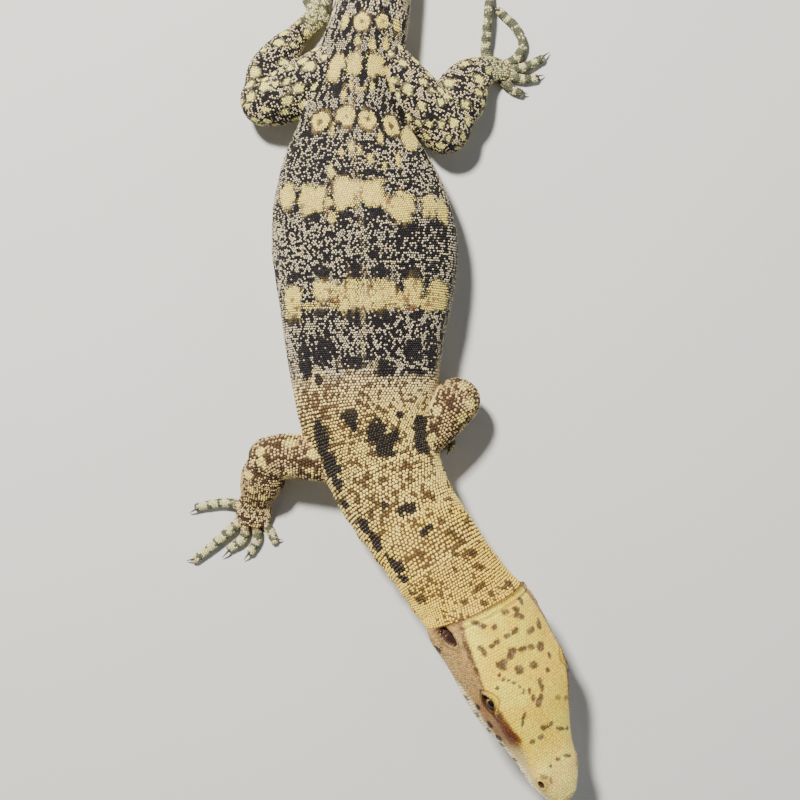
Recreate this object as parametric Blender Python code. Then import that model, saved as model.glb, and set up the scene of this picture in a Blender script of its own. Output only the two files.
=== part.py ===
"""A young water monitor lizard at life size, lying still with its head raised a little.

Millimetres are written as numbers times MM. The animal's left is +X, its tail points to +Y, its
head to -Y, and it lies on the level z = 0, with the origin under the middle of the belly.
"""

import math

import bmesh
import bpy
import numpy as np
from mathutils import Matrix, Vector

MM = 0.001
GAP = 0.3 * MM

# Trunk from the nape to the tip of the tail, front to back. Each row is the middle of one cross
# section (x, y, z), its half width, its rise above and its drop below the widest line, in mm, and
# the roll of that section in degrees, which turns the animal's right side up.
TRUNK = (
    (25.4, -73.9, 20.0, 11.6, 7.8, 9.2, 30.0),
    (20.4, -69.3, 18.4, 11.5, 8.0, 8.8, 25.0),
    (15.2, -63.2, 16.6, 10.9, 8.2, 8.4, 17.0),
    (10.9, -57.4, 14.6, 11.2, 8.4, 8.6, 9.0),
    (7.0, -51.0, 12.8, 12.0, 8.8, 9.4, 4.0),
    (3.2, -42.6, 11.0, 12.9, 9.8, 10.4, 0.0),
    (1.0, -34.1, 9.9, 15.0, 11.0, 10.4, 0.0),
    (0.4, -25.0, 9.2, 16.5, 12.2, 9.9, 0.0),
    (0.2, -15.5, 8.8, 18.0, 13.1, 9.6, 0.0),
    (0.5, -6.0, 8.5, 19.7, 13.6, 9.3, 0.0),
    (0.3, 3.5, 8.4, 20.6, 13.8, 9.2, 0.0),
    (-0.9, 13.0, 8.3, 19.3, 13.4, 9.1, 0.0),
    (-1.8, 22.0, 8.2, 16.2, 12.3, 8.9, 0.0),
    (-2.0, 29.7, 8.0, 12.4, 10.9, 8.6, 0.0),
    (-1.6, 37.4, 7.8, 9.9, 9.7, 8.4, 0.0),
    (-0.5, 45.1, 7.5, 9.4, 8.9, 8.1, 0.0),
    (1.6, 53.9, 7.1, 8.7, 8.2, 7.6, 0.0),
    (4.2, 70.0, 6.6, 7.2, 7.7, 7.0, 0.0),
    (4.6, 88.0, 6.0, 5.6, 7.1, 6.4, 0.0),
    (1.5, 110.0, 5.3, 4.7, 6.4, 5.6, 0.0),
    (-6.0, 136.0, 4.5, 3.8, 5.5, 4.8, 0.0),
    (-15.5, 164.0, 3.7, 3.1, 4.7, 4.0, 0.0),
    (-23.5, 192.0, 3.1, 2.5, 3.9, 3.4, 0.0),
    (-27.0, 220.0, 2.5, 2.0, 3.2, 2.8, 0.0),
    (-24.5, 248.0, 2.0, 1.5, 2.5, 2.2, 0.0),
    (-16.5, 275.0, 1.5, 1.1, 1.8, 1.7, 0.0),
    (-7.0, 299.0, 1.0, 0.7, 1.1, 1.15, 0.0),
    (-2.0, 310.5, 0.7, 0.45, 0.6, 0.75, 0.0),
)
# Rows over which the cross sections turn from the head's own direction to that of the path.
NAPE_TURN_ROWS = 2.4
PATH_STEPS_PER_ROW = 20
# Rows of TRUNK between which each length of the trunk runs, its rings and its sides.
LENGTHS = (
    ("neck", 0.0, 4.55, 12, 28),
    ("torso", 4.55, 15.75, 26, 30),
    ("tail_base", 15.75, 18.7, 12, 22),
    ("tail_front", 18.7, 20.8, 11, 20),
    ("tail_middle", 20.8, 23.0, 11, 16),
    ("tail_tip", 23.0, 27.0, 12, 10),
)
TORSO_ROWS = (4.2, 16.0, 27, 30)
FLESH_SQUARENESS = 2.3
KEEL_START_ROW = 15.0
KEEL_FULL_ROW = 20.0
KEEL_SQUARENESS = 1.55

# Head, in its own frame: x to the animal's left, y backwards, z up, from the nape at y = 0.
# Each row is the distance forward of the nape, half width, crown height and jaw depth, in mm.
HEAD_ROWS = (
    (0.0, 11.6, 7.8, 9.2),
    (3.0, 12.2, 8.0, 9.0),
    (8.0, 12.4, 8.1, 8.3),
    (13.5, 12.1, 7.9, 7.2),
    (18.5, 11.5, 7.7, 6.5),
    (22.5, 10.6, 7.3, 6.0),
    (27.0, 9.1, 6.4, 5.5),
    (31.5, 7.5, 5.3, 5.0),
    (35.5, 6.4, 4.6, 4.0),
    (39.5, 5.8, 4.2, 3.4),
    (43.0, 4.7, 3.5, 2.8),
    (45.8, 3.2, 2.5, 2.1),
    (47.2, 1.6, 1.3, 1.2),
)
HEAD_YAW = 23.0
HEAD_PITCH = 5.0
HEAD_ROLL = 30.0
HEAD_RINGS = 29
HEAD_SIDES = 38
RING_CROWDING = 0.16
SNOUT_START = 12.0 * MM
SNOUT_LENGTH = 18.0 * MM
SNOUT_SQUARENESS = 0.5
# The ridge from the temple over the eye to the nostril, at a share of the crown height.
RIDGE_LEVEL = 0.7
RIDGE_SPREAD = 0.2
RIDGE_HEIGHT = 0.45 * MM
RIDGE_MIDDLE = 22.0 * MM
RIDGE_LENGTH = 15.0 * MM
BROW_HEIGHT = 1.5 * MM
BROW_FORWARD = 19.5 * MM
BROW_LENGTH = 6.5 * MM
SOCKET_DEPTH = 1.3 * MM
SOCKET_DROP = 0.5 * MM
SOCKET_LENGTH = 5.0 * MM
SOCKET_SPREAD = 2.3 * MM
LIP_HEIGHT = 0.3 * MM
LIP_LEVEL = -1.6 * MM
LIP_SPREAD = 1.3 * MM
LIP_START = 13.0 * MM
LIP_FADE = 8.0 * MM
CROWN_FADE = 1.6
NOSE_SHARE = 0.55
NOSE_REACH = 0.25 * MM
EYE_FORWARD = 18.4 * MM
EYE_HEIGHT = 3.7 * MM
EYE_OUT = 8.3 * MM
EYE_RADIUS = 2.1 * MM
# The ring of the lids: half length, half height, how far it lies off the ball, and its thickness.
LID_LENGTH = 2.5 * MM
LID_HEIGHT = 1.75 * MM
LID_LIFT = 0.45 * MM
LID_RADIUS = 0.5 * MM
LID_SWELL = 0.2 * MM
LID_STEPS = 14
BALL_FACETS = (12, 8)
EAR_FORWARD = 2.8 * MM
EAR_HEIGHT = 1.6 * MM
EAR_OUT = 12.2 * MM
EAR_SIZE = (1.9 * MM, 1.5 * MM, 2.4 * MM)
NOSTRIL_FORWARD = 40.3 * MM
NOSTRIL_HEIGHT = 2.4 * MM
NOSTRIL_OUT = 5.5 * MM
NOSTRIL_SIZE = (0.9 * MM, 1.1 * MM, 0.7 * MM)
NOSTRIL_FACETS = (10, 6)
# Line of the mouth seen from the side: forward of the nape and height, in mm, tip to throat.
MOUTH_LINE = (
    (52.0, -1.4),
    (44.0, -1.3),
    (36.0, -1.6),
    (26.0, -1.9),
    (18.0, -1.7),
    (12.5, -2.6),
    (10.0, -5.0),
    (7.5, -14.0),
)
MOUTH_STEPS = 22
MOUTH_REACH = 20.0 * MM

# Legs. Each part is a path of (x, y, z, half width, half height) rows in mm, from its root out.
LEGS = {
    "upper_arm_right": (
        (-3.0, -44.2, 10.6, 5.2, 5.2),
        (-10.0, -43.8, 10.8, 4.9, 5.0),
        (-16.2, -43.1, 10.2, 5.0, 4.9),
        (-20.8, -43.5, 8.8, 4.8, 4.8),
    ),
    "forearm_right": (
        (-20.9, -43.9, 8.5, 4.0, 3.7),
        (-22.0, -47.4, 6.8, 5.1, 4.5),
        (-23.3, -50.6, 4.9, 4.5, 3.6),
        (-24.3, -53.2, 3.3, 3.6, 2.6),
    ),
    "upper_arm_left": (
        (9.0, -41.5, 10.6, 5.2, 5.0),
        (14.4, -37.6, 10.8, 5.1, 5.0),
        (18.4, -33.6, 10.6, 5.2, 5.2),
        (20.8, -30.9, 9.8, 5.3, 5.2),
    ),
    "forearm_left": (
        (20.8, -30.9, 9.4, 3.8, 3.7),
        (21.0, -31.6, 6.9, 4.4, 4.2),
        (20.2, -33.2, 4.5, 3.6, 3.2),
        (19.3, -34.8, 3.1, 3.1, 2.4),
    ),
    "thigh_right": (
        (-4.0, 44.6, 8.6, 5.4, 5.6),
        (-11.0, 39.8, 9.0, 5.9, 5.8),
        (-17.5, 36.4, 7.9, 6.0, 5.6),
        (-22.2, 35.7, 6.6, 5.8, 5.4),
    ),
    "shank_right": (
        (-22.2, 36.1, 6.4, 4.5, 4.2),
        (-20.7, 41.7, 6.2, 5.3, 4.9),
        (-17.9, 47.0, 4.8, 4.2, 3.8),
        (-15.2, 50.8, 3.3, 2.8, 2.6),
    ),
    "thigh_left": (
        (2.0, 46.5, 8.6, 5.2, 5.6),
        (9.3, 39.4, 9.0, 5.3, 5.8),
        (15.0, 33.0, 7.9, 5.8, 5.6),
        (18.6, 29.2, 6.6, 5.9, 5.4),
    ),
    "shank_left": (
        (18.5, 29.8, 6.4, 4.6, 4.2),
        (20.7, 35.4, 6.2, 6.3, 4.9),
        (23.7, 40.6, 4.8, 5.3, 3.9),
        (27.0, 43.2, 3.3, 3.6, 2.6),
    ),
}
LEG_RINGS = 10
LEG_SIDES = 12
PALM_RINGS = 6
ROUNDING_TURNS = (35.0, 65.0)

# Palms and soles, as the leg parts, and their toes. A toe is a path of (x, y, z) points in mm,
# from inside the palm to the root of its claw, then the point of the claw.
PALMS = {
    "hand_right": (
        (-24.8, -55.4, 1.9, 4.3, 2.1),
        (-25.3, -58.2, 1.3, 3.9, 1.6),
    ),
    "hand_left": (
        (18.3, -36.4, 2.0, 3.4, 2.1),
        (17.1, -38.4, 1.4, 3.0, 1.7),
    ),
    "foot_right": (
        (-12.6, 53.6, 2.1, 2.7, 2.1),
        (-9.9, 56.4, 1.5, 2.8, 1.7),
    ),
    "foot_left": (
        (29.0, 43.9, 2.1, 3.4, 2.1),
        (31.2, 43.6, 1.4, 3.0, 1.7),
    ),
}
TOES = {
    "hand_right": (
        ((-23.4, -57.2, 1.4), (-21.4, -60.2, 1.1), (-20.3, -62.6, 0.9), (-18.5, -62.4, 0.7)),
        ((-24.6, -58.4, 1.4), (-24.1, -62.0, 1.2), (-25.6, -65.2, 0.9), (-27.3, -67.1, 0.6)),
        ((-26.4, -58.6, 1.4), (-27.4, -62.2, 1.2), (-30.2, -64.3, 0.9), (-32.2, -66.6, 0.6)),
        ((-27.2, -57.4, 1.4), (-31.2, -61.0, 1.5), (-35.0, -64.3, 1.2), (-38.2, -66.9, 0.9),
         (-40.2, -67.2, 0.6)),
        ((-27.2, -54.6, 1.5), (-32.0, -54.0, 1.3), (-37.6, -55.0, 0.9), (-39.6, -56.4, 0.6)),
    ),
    "hand_left": (
        ((16.8, -36.2, 1.3), (14.9, -36.4, 1.1), (13.4, -36.8, 0.95), (12.0, -37.6, 0.6)),
        ((16.6, -37.6, 1.3), (14.4, -39.2, 1.1), (12.8, -40.2, 0.95), (11.4, -40.8, 0.6)),
        ((16.8, -38.8, 1.3), (15.0, -41.4, 1.1), (13.6, -43.0, 0.95), (12.4, -44.2, 0.6)),
        ((17.4, -39.0, 1.3), (16.6, -42.0, 1.1), (15.4, -44.7, 0.95), (14.2, -46.2, 0.6)),
        ((18.8, -37.6, 1.3), (19.6, -39.6, 1.1), (19.6, -41.6, 0.95), (18.8, -43.2, 0.6)),
    ),
    "foot_right": (
        ((-11.4, 56.4, 1.4), (-13.4, 60.6, 1.1), (-15.6, 64.2, 0.95), (-17.2, 65.6, 0.6)),
        ((-10.9, 57.4, 1.4), (-12.2, 62.6, 1.1), (-14.0, 67.8, 0.95), (-15.6, 69.8, 0.6)),
        ((-10.0, 57.8, 1.4), (-10.3, 63.8, 1.2), (-11.4, 70.6, 0.95), (-12.6, 73.0, 0.6)),
        ((-9.0, 57.6, 1.4), (-8.2, 63.0, 1.2), (-7.7, 69.6, 1.1), (-8.5, 75.4, 0.95),
         (-9.6, 77.6, 0.6)),
        ((-9.6, 55.6, 1.5), (-8.6, 58.2, 1.2), (-8.5, 61.0, 1.0), (-8.4, 63.2, 0.6)),
    ),
    "foot_left": (
        ((30.8, 42.0, 1.4), (33.4, 39.6, 1.1), (35.4, 38.6, 0.95), (37.2, 38.4, 0.6)),
        ((31.8, 42.8, 1.4), (35.6, 41.8, 1.1), (38.8, 42.0, 0.95), (40.8, 42.8, 0.6)),
        ((31.8, 43.8, 1.4), (36.2, 44.4, 1.2), (40.2, 46.4, 0.95), (42.0, 48.0, 0.6)),
        ((30.8, 44.4, 1.4), (34.2, 46.2, 1.4), (35.9, 49.6, 1.3), (34.2, 53.6, 1.1),
         (30.6, 57.2, 0.95), (27.9, 58.6, 0.6)),
        ((28.0, 45.0, 1.8), (27.4, 48.2, 2.2), (27.6, 52.0, 3.0), (28.0, 56.8, 3.2),
         (28.4, 61.0, 1.6), (28.8, 63.6, 0.6)),
    ),
}
TOE_RADIUS = 1.2 * MM
TOE_TIP_RADIUS = 0.92 * MM
TOE_STEPS = 2
CLAW_RADIUS = 0.55 * MM
CLAW_TIP_RADIUS = 0.12 * MM
CLAW_ARCH = 0.75 * MM
CLAW_STEPS = 5
CLAW_SINK = 0.5
CLAW_LEAN = 0.8
FLOOR_SIZE = 1.0
FLOOR_MIDDLE_Y = 0.1

# Finishes: base colour and roughness, none of them metallic.
FINISHES = {
    "head": ("yellow_head_skin", (0.74, 0.62, 0.22), 0.45),
    "lower_jaw": ("pale_jaw_skin", (0.80, 0.74, 0.50), 0.45),
    "eye": ("dark_eye", (0.05, 0.03, 0.02), 0.08),
    "neck": ("yellow_neck_skin", (0.68, 0.58, 0.26), 0.55),
    "torso": ("banded_back_skin", (0.22, 0.20, 0.14), 0.55),
    "tail": ("banded_tail_skin", (0.20, 0.18, 0.12), 0.55),
    "leg": ("spotted_leg_skin", (0.34, 0.29, 0.16), 0.55),
}


def clear_scene():
    """Remove every object and leave the rest of the file alone."""
    for thing in list(bpy.data.objects):
        bpy.data.objects.remove(thing, do_unlink=True)


def new_collection(name):
    """Return a new collection linked to the scene."""
    group = bpy.data.collections.new(name)
    bpy.context.scene.collection.children.link(group)
    return group


def finish(key):
    """Return the Principled material of one kind of sub-part."""
    name, colour, roughness = FINISHES[key]
    material = bpy.data.materials.get(name)
    if material is None:
        material = bpy.data.materials.new(name)
        material.use_nodes = True
        shader = material.node_tree.nodes["Principled BSDF"]
        shader.inputs["Base Color"].default_value = (*colour, 1.0)
        shader.inputs["Roughness"].default_value = roughness
        shader.inputs["Metallic"].default_value = 0.0
    return material


def smooth_rows(rows, positions):
    """Read a Catmull-Rom curve through equally numbered rows at fractional row positions."""
    table = np.asarray(rows, dtype=float)
    at = np.clip(np.asarray(positions, dtype=float), 0.0, len(table) - 1.0)
    low = np.minimum(at.astype(int), len(table) - 2)
    part = (at - low)[:, None]
    padded = np.vstack((2 * table[0] - table[1], table, 2 * table[-1] - table[-2]))
    a, b, c, d = (padded[low + k] for k in range(4))
    return b + 0.5 * part * (c - a + part * (2 * a - 5 * b + 4 * c - d + part * (3 * (b - c) + d - a)))


def frames_along(run):
    """Return the level side direction and the up direction square to each direction of a path."""
    run = run / np.linalg.norm(run, axis=1)[:, None]
    sides = np.cross(run, (0.0, 0.0, 1.0))
    sides /= np.linalg.norm(sides, axis=1)[:, None]
    return sides, np.cross(sides, run)


def section(sides, width, rise, drop, squareness_top, squareness_bottom):
    """Return the points of one superellipse whose upper and lower halves differ."""
    angles = np.linspace(0.0, 2 * math.pi, sides, endpoint=False)
    across, height = np.cos(angles), np.sin(angles)
    power = np.where(height >= 0, 2.0 / squareness_top, 2.0 / squareness_bottom)
    reach = np.where(height >= 0, rise, drop)
    x = width * np.sign(across) * np.abs(across) ** power
    z = reach * np.sign(height) * np.abs(height) ** power
    return x, z


def loft(name, rings):
    """Join closed rings of equally many points into one closed object, with fans at both ends."""
    mesh = bmesh.new()
    rows = [[mesh.verts.new(point) for point in ring] for ring in rings]
    count = len(rows[0])
    for lower, upper in zip(rows, rows[1:]):
        for k in range(count):
            after = (k + 1) % count
            mesh.faces.new((lower[k], lower[after], upper[after], upper[k]))
    for ring, turned in ((rows[0], True), (rows[-1], False)):
        middle = mesh.verts.new(sum((vert.co for vert in ring), Vector()) / count)
        for k in range(count):
            pair = (ring[k], ring[(k + 1) % count])
            mesh.faces.new((middle, *(reversed(pair) if turned else pair)))
    bmesh.ops.recalc_face_normals(mesh, faces=mesh.faces)
    bmesh.ops.triangulate(mesh, faces=mesh.faces)
    data = bpy.data.meshes.new(name)
    mesh.to_mesh(data)
    mesh.free()
    return bpy.data.objects.new(name, data)


def head_frame():
    """Return the matrix that carries the head's own frame to its place at the nape."""
    turn = (
        Matrix.Rotation(math.radians(HEAD_YAW), 4, "Z")
        @ Matrix.Rotation(math.radians(HEAD_PITCH), 4, "X")
        @ Matrix.Rotation(math.radians(HEAD_ROLL), 4, "Y")
    )
    return Matrix.Translation(Vector(TRUNK[0][:3]) * MM) @ turn


def trunk_rings(first, last, rings, sides, grow=0.0):
    """Return the rings of the trunk between two fractional rows of TRUNK."""
    positions = np.linspace(first, last, rings)
    table = smooth_rows(TRUNK, positions)
    centres = table[:, :3] * MM
    fine = np.linspace(0.0, len(TRUNK) - 1.0, PATH_STEPS_PER_ROW * len(TRUNK))
    path = np.gradient(smooth_rows(TRUNK, fine)[:, :3], axis=0)
    path /= np.linalg.norm(path, axis=1)[:, None]
    share = np.clip(1.0 - positions / NAPE_TURN_ROWS, 0.0, 1.0)[:, None]
    share = share * share * (3.0 - 2.0 * share)
    run = np.stack([np.interp(positions, fine, path[:, k]) for k in range(3)], 1)
    run = run * (1.0 - share) + np.asarray(head_frame().col[1][:3]) * share
    side, up = frames_along(run)
    roll = np.radians(table[:, 6])[:, None]
    side, up = side * np.cos(roll) - up * np.sin(roll), up * np.cos(roll) + side * np.sin(roll)
    keel = np.clip((positions - KEEL_START_ROW) / (KEEL_FULL_ROW - KEEL_START_ROW), 0.0, 1.0)
    crest = FLESH_SQUARENESS + (KEEL_SQUARENESS - FLESH_SQUARENESS) * keel
    made = []
    for k in range(rings):
        width, rise, drop = table[k, 3:6] * MM + grow
        x, z = section(sides, width, rise, drop, crest[k], FLESH_SQUARENESS)
        made.append(centres[k] + x[:, None] * side[k] + z[:, None] * up[k])
    return made


def shift_ring(rings, end, inner):
    """Return an end ring moved inwards by half the gap."""
    run = rings[inner].mean(0) - rings[end].mean(0)
    return rings[end] + run / np.linalg.norm(run) * GAP / 2


def trunk_length(name, first, last, rings, sides):
    """Build one length of the trunk, half the gap short of its neighbours at both ends."""
    made = trunk_rings(first, last, rings, sides)
    made[0] = shift_ring(made, 0, 1)
    made[-1] = shift_ring(made, -1, -2)
    return loft(name, made)


def leg_rings(rows, positions, grow=0.0):
    """Return the rings of a leg at fractional rows of its path, and the path's direction there."""
    table = smooth_rows(rows, positions)
    centres = table[:, :3] * MM
    tangents = np.gradient(centres, axis=0)
    tangents /= np.linalg.norm(tangents, axis=1)[:, None]
    side = np.cross(tangents[0], (0.0, 0.0, 1.0))
    angles = np.linspace(0.0, 2 * math.pi, LEG_SIDES, endpoint=False)[:, None]
    made = []
    for centre, tangent, (width, height) in zip(centres, tangents, table[:, 3:5] * MM + grow):
        side = side - tangent * side.dot(tangent)
        side /= np.linalg.norm(side)
        up = np.cross(side, tangent)
        made.append(centre + np.cos(angles) * side * width + np.sin(angles) * up * height)
    return made, tangents


def rounded_end(ring, tangent, reach):
    """Return the rings that round off an end."""
    middle = ring.mean(0)
    return [
        middle + (ring - middle) * math.cos(angle) + tangent * reach * math.sin(angle)
        for angle in np.radians(ROUNDING_TURNS)
    ]


def upper_leg(name, made_as, grow=0.0):
    """Build an upper arm or a thigh, or its shape grown by the gap, as a cutter."""
    rows = LEGS[name]
    rings, tangents = leg_rings(rows, np.linspace(0.0, len(rows) - 1.0, LEG_RINGS), grow)
    return loft(made_as, rings + rounded_end(rings[-1], tangents[-1], rows[-1][4] * MM + grow))


def lower_leg(name, foot_name):
    """Build a forearm or shank and the palm or sole that carries on its path beyond one gap."""
    rows = LEGS[name] + PALMS[foot_name]
    ankle = len(LEGS[name]) - 1.0
    positions = np.concatenate((
        np.linspace(0.0, ankle, LEG_RINGS),
        np.linspace(ankle, len(rows) - 1.0, PALM_RINGS)[1:],
    ))
    rings, tangents = leg_rings(rows, positions)
    split = LEG_RINGS - 1
    step = tangents[split] * GAP / 2
    leg = loft(name, rings[:split] + [rings[split] - step])
    end = rounded_end(rings[-1], tangents[-1], rows[-1][4] * MM)
    return leg, loft(foot_name, [rings[split] + step] + rings[split + 1:] + end)


def tube(name, points, radii, resolution, closed=False):
    """Make a closed mesh from an open or closed curve with a round bevel of changing radius."""
    curve = bpy.data.curves.new(name, "CURVE")
    curve.dimensions = "3D"
    curve.bevel_depth = 1.0
    curve.bevel_resolution = resolution
    curve.use_fill_caps = True
    spline = curve.splines.new("POLY")
    spline.points.add(len(points) - 1)
    for point, place, radius in zip(spline.points, points, radii):
        point.co = (*place, 1.0)
        point.radius = radius
    spline.use_cyclic_u = closed
    source = bpy.data.objects.new(name, curve)
    bpy.context.scene.collection.objects.link(source)
    graph = bpy.context.evaluated_depsgraph_get()
    data = bpy.data.meshes.new_from_object(source.evaluated_get(graph))
    bpy.data.objects.remove(source)
    bpy.data.curves.remove(curve)
    mesh = bmesh.new()
    mesh.from_mesh(data)
    bmesh.ops.remove_doubles(mesh, verts=mesh.verts, dist=0.00001)
    bmesh.ops.recalc_face_normals(mesh, faces=mesh.faces)
    mesh.to_mesh(data)
    mesh.free()
    return bpy.data.objects.new(name, data)


def ball(name, centre, size, facets=BALL_FACETS):
    """Make a closed ellipsoid with the given half sizes."""
    mesh = bmesh.new()
    bmesh.ops.create_uvsphere(mesh, u_segments=facets[0], v_segments=facets[1], radius=1.0)
    bmesh.ops.scale(mesh, vec=size, verts=mesh.verts)
    bmesh.ops.translate(mesh, vec=centre, verts=mesh.verts)
    data = bpy.data.meshes.new(name)
    mesh.to_mesh(data)
    mesh.free()
    return bpy.data.objects.new(name, data)


def bodies_of(mesh):
    """Return the vertex sets of the closed surfaces in a bmesh."""
    left, found = set(mesh.verts), []
    while left:
        front = [left.pop()]
        body = set(front)
        while front:
            near = {edge.other_vert(vert) for vert in front for edge in vert.link_edges}
            front = list(near & left)
            left -= near
            body |= near
        found.append(body)
    return found


def volume_of(faces):
    """Return the volume enclosed by triangular or other flat faces."""
    total = 0.0
    for face in faces:
        corners = [vert.co for vert in face.verts]
        for one, two in zip(corners[1:], corners[2:]):
            total += corners[0].dot(one.cross(two)) / 6.0
    return total


def keep_surface(thing, rank=0):
    """Keep only the surface of one rank by volume, 0 for the largest."""
    mesh = bmesh.new()
    mesh.from_mesh(thing.data)
    bodies = bodies_of(mesh)
    sized = sorted(
        bodies,
        key=lambda body: volume_of({face for vert in body for face in vert.link_faces}),
        reverse=True,
    )
    drop = [vert for body in sized if body is not sized[rank] for vert in body]
    bmesh.ops.delete(mesh, geom=drop, context="VERTS")
    bmesh.ops.triangulate(mesh, faces=mesh.faces)
    mesh.to_mesh(thing.data)
    mesh.free()


class Lizard:
    """The collections of the model, and the Booleans that join and cut its pieces."""

    def __init__(self):
        self.parts = new_collection("water_monitor_lizard")
        self.cutters = new_collection("cutters")

    def cutter(self, thing):
        """Put an object among the hidden cutters and return it."""
        self.cutters.objects.link(thing)
        thing.hide_render = True
        thing.display_type = "WIRE"
        return thing

    def add(self, thing, key):
        """Put an object among the parts with its own finish and return it."""
        self.parts.objects.link(thing)
        thing.data.materials.clear()
        thing.data.materials.append(finish(key))
        return thing

    def settle(self, thing):
        """Replace an object's mesh by what its modifiers make of it, and drop the modifiers."""
        bpy.context.view_layer.update()
        graph = bpy.context.evaluated_depsgraph_get()
        data = bpy.data.meshes.new_from_object(thing.evaluated_get(graph))
        thing.modifiers.clear()
        thing.data = data

    def join(self, thing, others):
        """Fuse closed objects into one and remove the others."""
        group = new_collection(thing.name + "_pieces")
        for other in others:
            group.objects.link(other)
        union = thing.modifiers.new("union", "BOOLEAN")
        union.operation = "UNION"
        union.operand_type = "COLLECTION"
        union.collection = group
        self.settle(thing)
        for other in others:
            bpy.data.objects.remove(other)
        bpy.data.collections.remove(group)
        keep_surface(thing)

    def cut(self, thing, tools, rank=0):
        """Cut an object by each tool in turn and keep one of the surfaces that result."""
        for tool in tools:
            made = thing.modifiers.new("cut", "BOOLEAN")
            made.operation = "DIFFERENCE"
            made.object = tool
            self.settle(thing)
        keep_surface(thing, rank)


def floor_cutter(lizard):
    """Make the block under the level on which the animal lies."""
    mesh = bmesh.new()
    bmesh.ops.create_cube(mesh, size=FLOOR_SIZE)
    bmesh.ops.translate(mesh, vec=(0.0, FLOOR_MIDDLE_Y, -FLOOR_SIZE / 2), verts=mesh.verts)
    data = bpy.data.meshes.new("floor_cutter")
    mesh.to_mesh(data)
    mesh.free()
    return lizard.cutter(bpy.data.objects.new("floor_cutter", data))


def bump(value, middle, spread):
    """Return a smooth rise from 0 to 1 and back around a middle value."""
    return np.exp(-(((value - middle) / spread) ** 2))


def head_surface(name):
    """Loft the whole head, with ridges, brows, sockets and lips worked into its rings."""
    rows = np.asarray(HEAD_ROWS, dtype=float)
    share = np.linspace(0.0, 1.0, HEAD_RINGS)
    forward = rows[-1, 0] * (share + RING_CROWDING * np.sin(math.pi * share) / math.pi)
    table = smooth_rows(HEAD_ROWS, np.interp(forward, rows[:, 0], np.arange(len(rows)))) * MM
    made = []
    for ahead, width, rise, drop in table:
        snout = SNOUT_SQUARENESS * np.clip((ahead - SNOUT_START) / SNOUT_LENGTH, 0.0, 1.0)
        x, z = section(HEAD_SIDES, width, rise, drop, FLESH_SQUARENESS + snout, FLESH_SQUARENESS)
        ridge = RIDGE_HEIGHT * bump(ahead, RIDGE_MIDDLE, RIDGE_LENGTH)
        ridge = ridge + BROW_HEIGHT * bump(ahead, BROW_FORWARD, BROW_LENGTH)
        out = ridge * bump(z / rise, RIDGE_LEVEL, RIDGE_SPREAD) * (z > 0)
        socket = bump(ahead, EYE_FORWARD, SOCKET_LENGTH) * bump(z, EYE_HEIGHT - SOCKET_DROP, SOCKET_SPREAD)
        lip = bump(z, LIP_LEVEL, LIP_SPREAD) * np.clip((ahead - LIP_START) / LIP_FADE, 0.0, 1.0)
        out = out - SOCKET_DEPTH * socket + LIP_HEIGHT * lip
        x = x + np.sign(x) * out * np.clip(np.abs(x) / width * CROWN_FADE, 0.0, 1.0)
        made.append(np.stack((x, np.full_like(x, -ahead), z), 1))
    made[0] = made[0] + np.array((0.0, -GAP / 2, 0.0))
    middle = made[-1].mean(0)
    nose = middle + (made[-1] - middle) * NOSE_SHARE + np.array((0.0, -NOSE_REACH, 0.0))
    return loft(name, made + [nose])


def mouth_cutter(lizard):
    """Make the thin sheet between the jaws, which turns down behind the corner of the mouth."""
    line = smooth_rows(MOUTH_LINE, np.linspace(0.0, len(MOUTH_LINE) - 1.0, MOUTH_STEPS)) * MM
    run = np.gradient(line, axis=0)
    run /= np.linalg.norm(run, axis=1)[:, None]
    normal = np.stack((-run[:, 1], run[:, 0]), 1) * GAP / 2
    rings = []
    for (ahead, height), (nx, nz) in zip(line, normal):
        corners = ((MOUTH_REACH, 1), (-MOUTH_REACH, 1), (-MOUTH_REACH, -1), (MOUTH_REACH, -1))
        rings.append([(x, -(ahead + turn * nx), height + turn * nz) for x, turn in corners])
    return lizard.cutter(loft("mouth_cutter", rings))


def eyelids(side):
    """Make the two lids of one eye as a rounded ring that bends round the ball of the eye."""
    turn = np.linspace(0.0, 2 * math.pi, LID_STEPS, endpoint=False)
    ahead, height = LID_LENGTH * np.cos(turn), LID_HEIGHT * np.sin(turn)
    ball_radius = EYE_RADIUS + LID_LIFT
    out = EYE_OUT + np.sqrt(np.maximum(ball_radius ** 2 - ahead ** 2 - height ** 2, 0.0))
    points = [(side * x, -EYE_FORWARD - y, EYE_HEIGHT + z) for x, y, z in zip(out, ahead, height)]
    return tube("lids", points, LID_RADIUS + LID_SWELL * np.sin(turn), 1, closed=True)


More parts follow.
